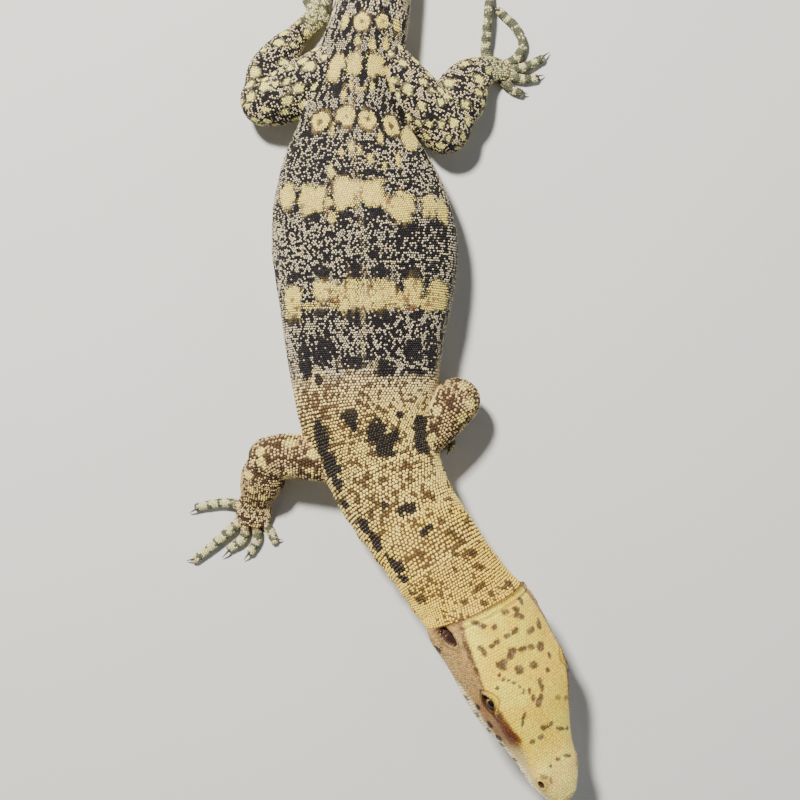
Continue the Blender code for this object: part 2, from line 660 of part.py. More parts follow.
def build_head(lizard, frame):
    """Build the head, the lower jaw and both eyes in the head's own frame, then place them."""
    head = lizard.add(head_surface("head"), "head")
    lizard.join(head, [eyelids(side) for side in (-1, 1)])
    tools = []
    for side in (-1, 1):
        eye = (side * EYE_OUT, -EYE_FORWARD, EYE_HEIGHT)
        hollow = EYE_RADIUS + GAP
        tools.append(ball("socket_cutter", eye, (hollow,) * 3))
        ear = (side * EAR_OUT, -EAR_FORWARD, EAR_HEIGHT)
        tools.append(ball("ear_cutter", ear, EAR_SIZE))
        nostril = (side * NOSTRIL_OUT, -NOSTRIL_FORWARD, NOSTRIL_HEIGHT)
        tools.append(ball("nostril_cutter", nostril, NOSTRIL_SIZE, NOSTRIL_FACETS))
    tools = [lizard.cutter(tool) for tool in tools]
    lizard.cut(head, tools)
    sheet = mouth_cutter(lizard)
    jaw = lizard.add(bpy.data.objects.new("lower_jaw", head.data.copy()), "lower_jaw")
    lizard.cut(jaw, [sheet], rank=1)
    lizard.cut(head, [sheet])
    made = [head, jaw]
    for side, name in ((1, "eye_left"), (-1, "eye_right")):
        place = (side * EYE_OUT, -EYE_FORWARD, EYE_HEIGHT)
        made.append(lizard.add(ball(name, place, (EYE_RADIUS,) * 3), "eye"))
    for thing in made:
        thing.matrix_world = frame


def build_trunk(lizard, floor):
    """Build the neck, torso and four lengths of the tail, flat where they lie on the floor."""
    for name, first, last, rings, sides in LENGTHS:
        length = lizard.add(trunk_length(name, first, last, rings, sides), name.split("_")[0])
        lizard.cut(length, [floor])


def build_legs(lizard, floor):
    """Build the parts of all four legs, each cut clear of what it grows from."""
    torso = lizard.cutter(loft("torso_cutter", trunk_rings(*TORSO_ROWS, grow=GAP)))
    for side in ("right", "left"):
        for upper, lower, end in (("upper_arm", "forearm", "hand"), ("thigh", "shank", "foot")):
            root = lizard.add(upper_leg(f"{upper}_{side}", f"{upper}_{side}"), "leg")
            lizard.cut(root, [torso, floor])
            grown = lizard.cutter(upper_leg(f"{upper}_{side}", f"{upper}_{side}_cutter", GAP))
            leg, palm = lower_leg(f"{lower}_{side}", f"{end}_{side}")
            lizard.cut(lizard.add(leg, "leg"), [torso, grown, floor])
            lizard.add(palm, "leg")
            toes = TOES[f"{end}_{side}"]
            lizard.join(palm, [piece for toe in toes for piece in toe_and_claw(toe)])
            lizard.cut(palm, [floor])


def toe_and_claw(points):
    """Make one toe as a tapered tube and its hooked claw, whose root sinks into the toe."""
    last = len(points) - 2
    path = smooth_rows(points[:-1], np.linspace(0.0, last, TOE_STEPS * last + 1)) * MM
    toe = tube("toe", path, np.linspace(TOE_RADIUS, TOE_TIP_RADIUS, len(path)), 1)
    root, tip = np.asarray(points[-2]) * MM, np.asarray(points[-1]) * MM
    root = root + (path[-2] - path[-1]) * CLAW_SINK
    share = np.linspace(0.0, 1.0, CLAW_STEPS)[:, None]
    arch = np.array((0.0, 0.0, CLAW_ARCH)) * np.sin(math.pi * share ** CLAW_LEAN)
    hook = root + (tip - root) * share + arch
    return [toe, tube("claw", hook, np.linspace(CLAW_RADIUS, CLAW_TIP_RADIUS, CLAW_STEPS), 0)]


def main():
    """Build the whole animal."""
    clear_scene()
    lizard = Lizard()
    floor = floor_cutter(lizard)
    build_head(lizard, head_frame())
    build_trunk(lizard, floor)
    build_legs(lizard, floor)
    for thing in lizard.parts.objects:
        thing.data.shade_smooth()


main()
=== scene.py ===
"""Skin, scales, eyes and claws of a young water monitor lizard that lies on a pale floor.

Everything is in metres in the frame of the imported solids: the animal's left is +X, its tail points
to +Y, its head to -Y, and the floor is z = 0. Tables are written in millimetres, MM turns them into
metres. One closed skin replaces every node of flesh. Thousands of low domes, the scales, lie on it
in rows that follow the body. Skin and scales take their colours from one set of formulas, the
markings, which work in lengths measured along and around the body.
"""

import logging
import math
from dataclasses import dataclass, field
from enum import Enum

import bpy
import numpy as np
from mathutils import Matrix, Vector
from mathutils.bvhtree import BVHTree

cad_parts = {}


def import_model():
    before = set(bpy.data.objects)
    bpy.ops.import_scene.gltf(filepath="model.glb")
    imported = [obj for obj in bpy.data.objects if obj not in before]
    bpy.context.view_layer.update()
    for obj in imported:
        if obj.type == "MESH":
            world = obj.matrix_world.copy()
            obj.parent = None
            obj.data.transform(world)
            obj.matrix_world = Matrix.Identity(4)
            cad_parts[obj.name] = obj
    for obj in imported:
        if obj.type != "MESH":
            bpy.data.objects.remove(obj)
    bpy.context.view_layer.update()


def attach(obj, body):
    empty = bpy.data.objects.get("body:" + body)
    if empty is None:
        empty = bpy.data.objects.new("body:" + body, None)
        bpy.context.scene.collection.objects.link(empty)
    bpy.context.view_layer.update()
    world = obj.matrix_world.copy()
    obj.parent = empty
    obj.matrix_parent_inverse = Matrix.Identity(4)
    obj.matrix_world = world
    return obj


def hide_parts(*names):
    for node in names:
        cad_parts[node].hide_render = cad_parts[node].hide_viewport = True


Array = np.ndarray
Thing = bpy.types.Object
Material = bpy.types.Material

MM = 0.001
TAU = 2.0 * math.pi
log = logging.getLogger("water_monitor")

# Trunk from the nape to the tip of the tail: middle x, y, z, half width, rise above and drop below
# the widest line in mm, and the roll in degrees that turns the right side up.
TRUNK_ROWS = (
    (25.4, -73.9, 20.0, 11.3, 7.8, 9.2, 30.0), (20.0, -69.3, 18.4, 10.9, 8.0, 8.8, 25.0),
    (15.2, -63.2, 16.6, 10.9, 8.2, 8.4, 17.0), (10.9, -57.4, 14.6, 11.2, 8.4, 8.6, 9.0),
    (7.0, -51.0, 12.8, 12.0, 8.8, 9.4, 4.0), (3.2, -42.6, 11.0, 12.9, 9.8, 10.4, 0.0),
    (1.0, -34.1, 9.9, 15.0, 11.0, 10.4, 0.0), (0.4, -25.0, 9.2, 16.5, 12.2, 9.9, 0.0),
    (0.2, -15.5, 8.8, 18.0, 13.1, 9.6, 0.0), (0.5, -6.0, 8.5, 19.7, 13.6, 9.3, 0.0),
    (0.3, 3.5, 8.4, 20.6, 13.8, 9.2, 0.0), (-0.9, 13.0, 8.3, 19.3, 13.4, 9.1, 0.0),
    (-1.8, 22.0, 8.2, 16.2, 12.3, 8.9, 0.0), (-2.0, 29.7, 8.0, 12.4, 10.9, 8.6, 0.0),
    (-1.6, 37.4, 7.8, 9.9, 9.7, 8.4, 0.0), (-0.5, 45.1, 7.5, 9.4, 8.9, 8.1, 0.0),
    (1.6, 53.9, 7.1, 8.7, 8.2, 7.6, 0.0), (4.2, 70.0, 6.6, 7.2, 7.7, 7.0, 0.0),
    (4.6, 88.0, 6.0, 5.6, 7.1, 6.4, 0.0), (1.5, 110.0, 5.3, 4.7, 6.4, 5.6, 0.0),
    (-6.0, 136.0, 4.5, 3.8, 5.5, 4.8, 0.0), (-15.5, 164.0, 3.7, 3.1, 4.7, 4.0, 0.0),
    (-23.5, 192.0, 3.1, 2.5, 3.9, 3.4, 0.0), (-27.0, 220.0, 2.5, 2.0, 3.2, 2.8, 0.0),
    (-24.5, 248.0, 2.0, 1.5, 2.5, 2.2, 0.0), (-16.5, 275.0, 1.5, 1.1, 1.8, 1.7, 0.0),
    (-7.0, 299.0, 1.0, 0.7, 1.1, 1.15, 0.0), (-2.0, 310.5, 0.7, 0.45, 0.6, 0.75, 0.0),
)
# Head in its own frame: forward of the nape, half width, crown height, jaw depth, mm.
HEAD_ROWS = (
    (0.0, 11.6, 7.8, 9.2), (3.0, 12.2, 8.0, 9.0), (8.0, 12.4, 8.1, 8.3), (13.5, 12.1, 7.9, 7.2),
    (18.5, 11.5, 7.7, 6.5), (22.5, 10.6, 7.3, 6.0), (27.0, 9.1, 6.4, 5.5), (31.5, 7.5, 5.3, 5.0),
    (35.5, 6.4, 4.6, 4.0), (39.5, 5.8, 4.2, 3.4), (43.0, 4.7, 3.5, 2.8), (45.8, 3.2, 2.5, 2.1),
    (47.2, 1.6, 1.3, 1.2),
)
# Line of the mouth seen from the side: forward of the nape and height, mm.
MOUTH_ROWS = ((52.0, -1.4), (44.0, -1.3), (36.0, -1.6), (26.0, -1.9), (18.0, -1.7), (12.5, -2.6))
# Legs: x, y, z, half width and half height along each path, mm.
LEG_ROWS = {
    "upper_arm_right": (
        (-3.0, -44.2, 10.6, 5.2, 5.2), (-10.0, -43.8, 10.8, 4.9, 5.0), (-16.2, -43.1, 10.2, 5.0, 4.9),
        (-20.8, -43.5, 8.8, 4.8, 4.8),
    ),
    "forearm_right": (
        (-20.9, -43.9, 8.5, 4.0, 3.7), (-22.0, -47.4, 6.8, 5.1, 4.5), (-23.3, -50.6, 4.9, 4.5, 3.6),
        (-24.3, -53.2, 3.3, 3.6, 2.6), (-24.8, -55.4, 1.9, 4.3, 2.1), (-25.3, -58.2, 1.3, 3.9, 1.6),
    ),
    "upper_arm_left": (
        (9.0, -41.5, 10.6, 5.2, 5.0), (14.4, -37.6, 10.8, 5.1, 5.0), (18.4, -33.6, 10.6, 5.2, 5.2),
        (20.8, -30.9, 9.8, 5.3, 5.2),
    ),
    "forearm_left": (
        (20.8, -30.9, 9.4, 3.8, 3.7), (21.0, -31.6, 6.9, 4.4, 4.2), (20.2, -33.2, 4.5, 3.6, 3.2),
        (19.3, -34.8, 3.1, 3.1, 2.4), (18.3, -36.4, 2.0, 3.4, 2.1), (17.1, -38.4, 1.4, 3.0, 1.7),
    ),
    "thigh_right": (
        (-4.0, 44.6, 8.6, 5.4, 5.6), (-11.0, 39.8, 9.0, 5.9, 5.8), (-17.5, 36.4, 7.9, 6.0, 5.6),
        (-22.2, 35.7, 6.6, 5.8, 5.4),
    ),
    "shank_right": (
        (-22.2, 36.1, 6.4, 4.5, 4.2), (-20.7, 41.7, 6.2, 5.3, 4.9), (-17.9, 47.0, 4.8, 4.2, 3.8),
        (-15.2, 50.8, 3.3, 2.8, 2.6), (-12.6, 53.6, 2.1, 2.7, 2.1), (-9.9, 56.4, 1.5, 2.8, 1.7),
    ),
    "thigh_left": (
        (2.0, 46.5, 8.6, 5.2, 5.6), (9.3, 39.4, 9.0, 5.3, 5.8), (15.0, 33.0, 7.9, 5.8, 5.6),
        (18.6, 29.2, 6.6, 5.9, 5.4),
    ),
    "shank_left": (
        (18.5, 29.8, 6.4, 4.6, 4.2), (20.7, 35.4, 6.2, 6.3, 4.9), (23.7, 40.6, 4.8, 5.3, 3.9),
        (27.0, 43.2, 3.3, 3.6, 2.6), (29.0, 43.9, 2.1, 3.4, 2.1), (31.2, 43.6, 1.4, 3.0, 1.7),
    ),
}
# Toes: points from inside the palm to the root of the claw, then the point of the claw, mm.
TOE_ROWS = {
    "hand_right": (
        ((-23.4, -57.2, 1.4), (-21.4, -60.2, 1.1), (-20.3, -62.6, 0.9), (-18.5, -62.4, 0.7)),
        ((-24.6, -58.4, 1.4), (-24.1, -62.0, 1.2), (-25.6, -65.2, 0.9), (-27.3, -67.1, 0.6)),
        ((-26.4, -58.6, 1.4), (-27.4, -62.2, 1.2), (-30.2, -64.3, 0.9), (-32.2, -66.6, 0.6)),
        ((-27.2, -57.4, 1.4), (-31.2, -61.0, 1.5), (-35.0, -64.3, 1.2), (-38.2, -66.9, 0.9),
         (-40.2, -67.2, 0.6)),
        ((-27.2, -54.6, 1.5), (-32.0, -54.0, 1.3), (-37.6, -55.0, 0.9), (-39.6, -56.4, 0.6)),
    ),
    "hand_left": (
        ((16.8, -36.2, 1.3), (14.9, -36.4, 1.1), (13.4, -36.8, 0.95), (12.0, -37.6, 0.6)),
        ((16.6, -37.6, 1.3), (14.4, -39.2, 1.1), (12.8, -40.2, 0.95), (11.4, -40.8, 0.6)),
        ((16.8, -38.8, 1.3), (15.0, -41.4, 1.1), (13.6, -43.0, 0.95), (12.4, -44.2, 0.6)),
        ((17.4, -39.0, 1.3), (16.6, -42.0, 1.1), (15.4, -44.7, 0.95), (14.2, -46.2, 0.6)),
        ((18.8, -37.6, 1.3), (19.6, -39.6, 1.1), (19.6, -41.6, 0.95), (18.8, -43.2, 0.6)),
    ),
    "foot_right": (
        ((-11.4, 56.4, 1.4), (-13.4, 60.6, 1.1), (-15.6, 64.2, 0.95), (-17.2, 65.6, 0.6)),
        ((-10.9, 57.4, 1.4), (-12.2, 62.6, 1.1), (-14.0, 67.8, 0.95), (-15.6, 69.8, 0.6)),
        ((-10.0, 57.8, 1.4), (-10.3, 63.8, 1.2), (-11.4, 70.6, 0.95), (-12.6, 73.0, 0.6)),
        ((-9.0, 57.6, 1.4), (-8.2, 63.0, 1.2), (-7.7, 69.6, 1.1), (-8.5, 75.4, 0.95),
         (-9.6, 77.6, 0.6)),
        ((-9.6, 55.6, 1.5), (-8.6, 58.2, 1.2), (-8.5, 61.0, 1.0), (-8.4, 63.2, 0.6)),
    ),
    "foot_left": (
        ((30.8, 42.0, 1.4), (33.4, 39.6, 1.1), (35.4, 38.6, 0.95), (37.2, 38.4, 0.6)),
        ((31.8, 42.8, 1.4), (35.6, 41.8, 1.1), (38.8, 42.0, 0.95), (40.8, 42.8, 0.6)),
        ((31.8, 43.8, 1.4), (36.2, 44.4, 1.2), (40.2, 46.4, 0.95), (42.0, 48.0, 0.6)),
        ((30.8, 44.4, 1.4), (34.2, 46.2, 1.4), (35.9, 49.6, 1.3), (34.2, 53.6, 1.1),
         (30.6, 57.2, 0.95), (27.9, 58.6, 0.6)),
        ((28.0, 45.0, 1.8), (27.4, 48.2, 2.2), (27.6, 52.0, 3.0), (28.0, 56.8, 3.2),
         (28.4, 61.0, 1.6), (28.8, 63.6, 0.6)),
    ),
}
FLESH_NODES = (
    "head", "lower_jaw", "neck", "torso", "tail_base", "tail_front", "tail_middle", "tail_tip",
    "upper_arm_right", "forearm_right", "hand_right", "upper_arm_left", "forearm_left", "hand_left",
    "thigh_right", "shank_right", "foot_right", "thigh_left", "shank_left", "foot_left",
)


def smooth_rows(rows: tuple, positions: Array) -> Array:
    """Read a Catmull-Rom curve through equally numbered rows at fractional row positions.

    Args:
        rows: The table, one tuple of numbers a row.
        positions: Fractional row numbers.

    Returns:
        One row of numbers for each position.
    """
    table = np.asarray(rows, dtype=float)
    at = np.clip(np.asarray(positions, dtype=float), 0.0, len(table) - 1.0)
    low = np.minimum(at.astype(int), len(table) - 2)
    part = (at - low)[:, None]
    padded = np.vstack((2 * table[0] - table[1], table, 2 * table[-1] - table[-2]))
    a, b, c, d = (padded[low + k] for k in range(4))
    return b + 0.5 * part * (c - a + part * (2 * a - 5 * b + 4 * c - d + part * (3 * (b - c) + d - a)))


def unit(vectors: Array) -> Array:
    """Return vectors of length one in the same directions."""
    return vectors / np.maximum(np.linalg.norm(vectors, axis=-1, keepdims=True), 1e-12)


def bump(value: Array, middle: float, spread: float) -> Array:
    """Return a smooth rise from 0 to 1 and back around a middle value: e to minus the square."""
    return np.exp(-(((value - middle) / spread) ** 2))


def ramp(value: Array, low: float, high: float) -> Array:
    """Return a smooth step from 0 at low to 1 at high; low may be the larger of the two."""
    share = np.clip((value - low) / (high - low), 0.0, 1.0)
    return share * share * (3.0 - 2.0 * share)


def blend(share: Array, one: Array, two: Array) -> Array:
    """Mix two colours or colour arrays: the second where the share is 1."""
    share = np.asarray(share)[..., None]
    return np.asarray(one) * (1.0 - share) + np.asarray(two) * share


def layered(colour: Array, *layers: tuple) -> Array:
    """Lay colours over a first one: each layer is a share and the colour that it adds."""
    for share, tint in layers:
        colour = blend(share, colour, tint)
    return colour


def turns(sides: int) -> Array:
    """Return evenly spaced angles once round."""
    return np.linspace(0.0, TAU, sides, endpoint=False)


def jowls(ahead: Array, across: Array, height: Array) -> Array:
    """Return how far the corners of the jaws push the skin outwards, on the head and behind it.

    The right side bulges and the left side, on which the neck bends, draws in. All lengths are in
    millimetres in the head's own frame.
    """
    bulge = 1.9 * bump(ahead, 0.5, 5.5) * bump(height, -2.5, 3.4)
    dent = 1.3 * bump(ahead, 0.0, 7.5) * ramp(across, 2.0, 8.0)
    return (bulge * (across < 0) - dent) * (np.abs(across) > 1.5)


def superellipse(angles: Array, width: Array, rise: Array, drop: Array,
                 top: Array, bottom: float) -> tuple[Array, Array]:
    """Work out points of cross sections whose upper and lower halves differ.

    Across is width times the cosine to the power 2 / squareness, and height is the rise or the
    drop times the sine to that power, each with its sign.

    Args:
        angles: Angle of each point, 0 at the left side and a quarter turn at the top.
        width: Half width of the section that each point lies on.
        rise: Height above the widest line.
        drop: Depth below it.
        top: Squareness of the upper half.
        bottom: Squareness of the lower half.

    Returns:
        The distances across and up.
    """
    across, height = np.cos(angles), np.sin(angles)
    power = np.where(height >= 0, 2.0 / top, 2.0 / bottom)
    reach = np.where(height >= 0, rise, drop)
    return (width * np.sign(across) * np.abs(across) ** power,
            reach * np.sign(height) * np.abs(height) ** power)


def lattice_hash(cells: Array, seed: int) -> Array:
    """Turn whole-number cells into even numbers from 0 to 1, the same on every run."""
    mixed = np.full(cells.shape[:-1], (seed * 2654435761) & 0xFFFFFFFF, dtype=np.uint64)
    for axis in range(cells.shape[-1]):
        mixed ^= (cells[..., axis].astype(np.int64) & 0xFFFFFFFF).astype(np.uint64)
        mixed = (mixed * np.uint64(0x9E3779B1)) & np.uint64(0xFFFFFFFF)
        mixed ^= mixed >> np.uint64(15)
        mixed = (mixed * np.uint64(0x85EBCA77)) & np.uint64(0xFFFFFFFF)
        mixed ^= mixed >> np.uint64(13)
    return mixed.astype(float) / 4294967295.0


def cloud(points: Array, size: float, seed: int) -> Array:
    """Return smooth random values from 0 to 1: cell corners blended by smooth steps.

    Args:
        points: Places, in metres, of any number of axes.
        size: Width of a cell in metres.
        seed: Number that picks the pattern.

    Returns:
        One value a place.
    """
    scaled = points / size
    base = np.floor(scaled)
    part = scaled - base
    part = part * part * (3.0 - 2.0 * part)
    axes = points.shape[-1]
    total = np.zeros(points.shape[:-1])
    for corner in range(2 ** axes):
        step = np.array([(corner >> axis) & 1 for axis in range(axes)], dtype=float)
        share = np.prod(np.where(step > 0, part, 1.0 - part), axis=-1)
        total += share * lattice_hash(base + step, seed)
    return total


def pebbles(flat: Array, size: float, seed: int) -> tuple[Array, Array]:
    """Return the distance to the nearest of a jittered grid of dots, and that dot's own number.

    Args:
        flat: Places on an unrolled surface, two lengths each.
        size: Width of a grid cell.
        seed: Number that picks the pattern.

    Returns:
        Distances in the same unit as the places, and numbers from 0 to 1.
    """
    cell = np.floor(flat / size)
    best = np.full(flat.shape[:-1], np.inf)
    chosen = np.zeros(flat.shape[:-1])
    for across in (-1, 0, 1):
        for along in (-1, 0, 1):
            near = cell + np.array((across, along), dtype=float)
            jitter = np.stack((lattice_hash(near, seed), lattice_hash(near, seed + 1)), -1)
            dot = (near + 0.5 + (jitter - 0.5) * 0.62) * size
            gap = np.linalg.norm(flat - dot, axis=-1)
            nearer = gap < best
            best = np.where(nearer, gap, best)
            chosen = np.where(nearer, lattice_hash(near, seed + 2), chosen)
    return best, chosen


def shell(name: str, grid: Array) -> Thing:
    """Make a closed object from rings of points, with a fan over each end ring to its middle.

    Args:
        name: Name of the object.
        grid: Points, rings by sides by three.

    Returns:
        The object, linked to the scene, with its faces turned outwards.
    """
    rings, sides = grid.shape[:2]
    points = grid.reshape(-1, 3)
    ring, side = np.meshgrid(np.arange(rings - 1), np.arange(sides), indexing="ij")
    after = (side + 1) % sides
    quads = np.stack((ring * sides + side, ring * sides + after,
                      (ring + 1) * sides + after, (ring + 1) * sides + side), -1).reshape(-1, 4)
    points = np.vstack((points, grid[0].mean(0), grid[-1].mean(0)))
    side = np.arange(sides)
    after = (side + 1) % sides
    first = np.stack((np.full(sides, len(points) - 2), after, side), -1)
    start = (rings - 1) * sides
    last = np.stack((np.full(sides, len(points) - 1), start + side, start + after), -1)
    split = np.concatenate((quads[:, (0, 1, 2)], quads[:, (0, 2, 3)], first, last))
    made = mesh_object(name, points, split)
    corners = points[split]
    volume = np.einsum("ij,ij->i", corners[:, 0], np.cross(corners[:, 1], corners[:, 2])).sum()
    if volume < 0:
        made.data.flip_normals()
    return made


def mesh_object(name: str, points: Array, triangles: Array) -> Thing:
    """Make a smooth-shaded object from arrays of points and triangles and link it to the scene."""
    data = bpy.data.meshes.new(name)
    data.vertices.add(len(points))
    data.vertices.foreach_set("co", np.ascontiguousarray(points, dtype=np.float32).ravel())
    data.loops.add(triangles.size)
    data.loops.foreach_set("vertex_index", np.ascontiguousarray(triangles, dtype=np.int32).ravel())
    data.polygons.add(len(triangles))
    data.polygons.foreach_set("loop_start", np.arange(0, triangles.size, 3, dtype=np.int32))
    data.update(calc_edges=True)
    data.validate()
    data.shade_smooth()
    thing = bpy.data.objects.new(name, data)
    bpy.context.scene.collection.objects.link(thing)
    return thing


def points_of(thing: Thing) -> Array:
    """Return the places of an object's vertices."""
    flat = np.empty(len(thing.data.vertices) * 3, dtype=np.float32)
    thing.data.vertices.foreach_get("co", flat)
    return flat.reshape(-1, 3).astype(float)


def settle(thing: Thing) -> None:
    """Replace an object's mesh by what its modifiers make of it."""
    bpy.context.view_layer.update()
    graph = bpy.context.evaluated_depsgraph_get()
    data = bpy.data.meshes.new_from_object(thing.evaluated_get(graph))
    thing.modifiers.clear()
    thing.data = data


def paint(thing: Thing, colours: Array) -> None:
    """Store one colour a vertex as the attribute that the materials read."""
    layer = thing.data.color_attributes.new(name="Marks", type="FLOAT_COLOR", domain="POINT")
    rgba = np.concatenate((colours, np.ones((len(colours), 1))), -1)
    layer.data.foreach_set("color", np.ascontiguousarray(rgba, dtype=np.float32).ravel())


@dataclass
class Spine:
    """The trunk: a closed tube of superellipses along a path from the nape to the tip of the tail.

    Attributes:
        head_back: Direction from the head backwards.
        rows: Table of cross sections.
        squareness: Power of the sections on the body.
        keel_squareness: Power of the upper half on the tail, which makes its keel.
        keel_rows: Rows between which the keel sets in.
        nape_turn_rows: Rows over which sections turn from the head's direction to the path's.
        coat: Depth of the scales, by which the skin lies inside the solids.
        first_step: Distance between the first two rows in mm.
    """

    head_back: Array
    rows: tuple = TRUNK_ROWS
    squareness: float = 2.3
    keel_squareness: float = 1.55
    keel_rows: tuple = (15.0, 20.0)
    nape_turn_rows: float = 2.4
    coat: float = 0.2 * MM
    first_step: float = 7.2

    def __post_init__(self) -> None:
        """Work out the path finely, once."""
        self.fine = np.linspace(0.0, len(self.rows) - 1.0, 20 * len(self.rows))
        self.middle = smooth_rows(self.rows, self.fine)[:, :3] * MM
        self.path = unit(np.gradient(self.middle, axis=0))
        steps = np.linalg.norm(np.diff(self.middle, axis=0), axis=1)
        self.along = np.concatenate(((0.0,), np.cumsum(steps)))

    def frames(self, positions: Array) -> tuple:
        """Return middle, run, side, up, sizes and crest squareness at fractional rows."""
        table = smooth_rows(self.rows, positions)
        share = np.clip(1.0 - positions / self.nape_turn_rows, 0.0, 1.0)[:, None]
        share = share * share * (3.0 - 2.0 * share)
        run = np.stack([np.interp(positions, self.fine, self.path[:, k]) for k in range(3)], 1)
        run = unit(run * (1.0 - share) + self.head_back * share)
        side = unit(np.cross(run, (0.0, 0.0, 1.0)))
        up = np.cross(side, run)
        roll = np.radians(table[:, 6])[:, None]
        side, up = side * np.cos(roll) - up * np.sin(roll), up * np.cos(roll) + side * np.sin(roll)
        low, high = self.keel_rows
        keel = np.clip((positions - low) / (high - low), 0.0, 1.0)
        crest = self.squareness + (self.keel_squareness - self.squareness) * keel
        return table[:, :3] * MM, run, side, up, table[:, 3:6] * MM, crest

    def surface(self, positions: Array, angles: Array, grow: float = 0.0) -> Array:
        """Return points of the skin at fractional rows and angles, as flat arrays of one length.

        A point is the middle plus its distance across times the side direction plus its height
        times the up direction. The folds of the neck are added to the sizes.
        """
        middle, _, side, up, sizes, crest = self.frames(positions)
        sizes = sizes + (grow + self.folds(positions, angles))[:, None]
        sizes = np.maximum(sizes, 0.12 * MM)
        x, z = superellipse(angles, sizes[:, 0], sizes[:, 1], sizes[:, 2], crest, self.squareness)
        x = x + np.sign(x) * jowls(-positions * self.first_step, x / MM, z / MM) * MM
        return middle + x[:, None] * side + z[:, None] * up

    def folds(self, positions: Array, angles: Array) -> Array:
        """Return how far loose skin stands out: rings across the neck, and a roll at the nape."""
        neck = ramp(positions, 4.8, 3.2)
        right = 0.5 - 0.5 * np.cos(angles)
        rings = np.sin(positions * 9.5 + 1.4 * np.sin(angles) + 0.8 * np.cos(2 * angles))
        wrinkle = 0.16 * MM * neck * rings * (0.25 + right)
        collar = 0.12 * MM * bump(positions, 0.2, 0.25) + 0.2 * MM * bump(positions, 0.95, 0.16)
        throat = 0.5 * MM * bump(positions, 0.9, 1.0) * ramp(-np.sin(angles), 0.1, 0.9)
        flank = ramp(positions, 5.5, 7.5) * ramp(positions, 15.0, 12.5)
        low = ramp(-np.sin(angles), -0.35, 0.1) * ramp(-np.sin(angles), 0.8, 0.35)
        crease = 0.1 * MM * flank * low * np.sin(angles * 26.0 + 0.5 * np.sin(positions * 2.0))
        return (wrinkle + collar + throat) * ramp(positions, 0.0, 0.55) + crease

    def grid(self, first: float, last: float, rings: int, sides: int, grow: float) -> Array:
        """Return a grid of skin points between two rows, rings by sides."""
        ring, turn = np.meshgrid(np.linspace(first, last, rings), turns(sides), indexing="ij")
        return self.surface(ring.ravel(), turn.ravel(), grow).reshape(rings, sides, 3)

    def locate(self, points: Array) -> tuple[Array, Array, Array, Array]:
        """Find where points lie on the trunk.

        Args:
            points: Places in metres.

        Returns:
            Length along the spine from the nape, signed chord from the back's middle line (left is
            positive), turn away from it in radians, and the depth, 1 on the surface.
        """
        nearest = np.concatenate([
            np.argmin(((block[:, None, :] - self.middle[None]) ** 2).sum(-1), axis=1)
            for block in np.array_split(points, max(1, len(points) // 20000))
        ])
        middle, run, side, up, sizes, _ = self.frames(self.fine[nearest])
        away = points - middle
        across, height = (away * side).sum(-1), (away * up).sum(-1)
        along = self.along[nearest] + (away * run).sum(-1)
        reach = np.where(height > 0, sizes[:, 1], sizes[:, 2])
        depth = np.sqrt((across / sizes[:, 0]) ** 2 + (height / reach) ** 2)
        turn = np.arctan2(np.abs(across) / sizes[:, 0], height / reach)
        chord = np.sign(across) * np.hypot(across, np.maximum(sizes[:, 1] - height, 0.0))
        return along, chord, turn, depth

    def rows_at(self, along: Array) -> Array:
        """Return the fractional rows at lengths along the spine."""
        return np.interp(along, self.along, self.fine)


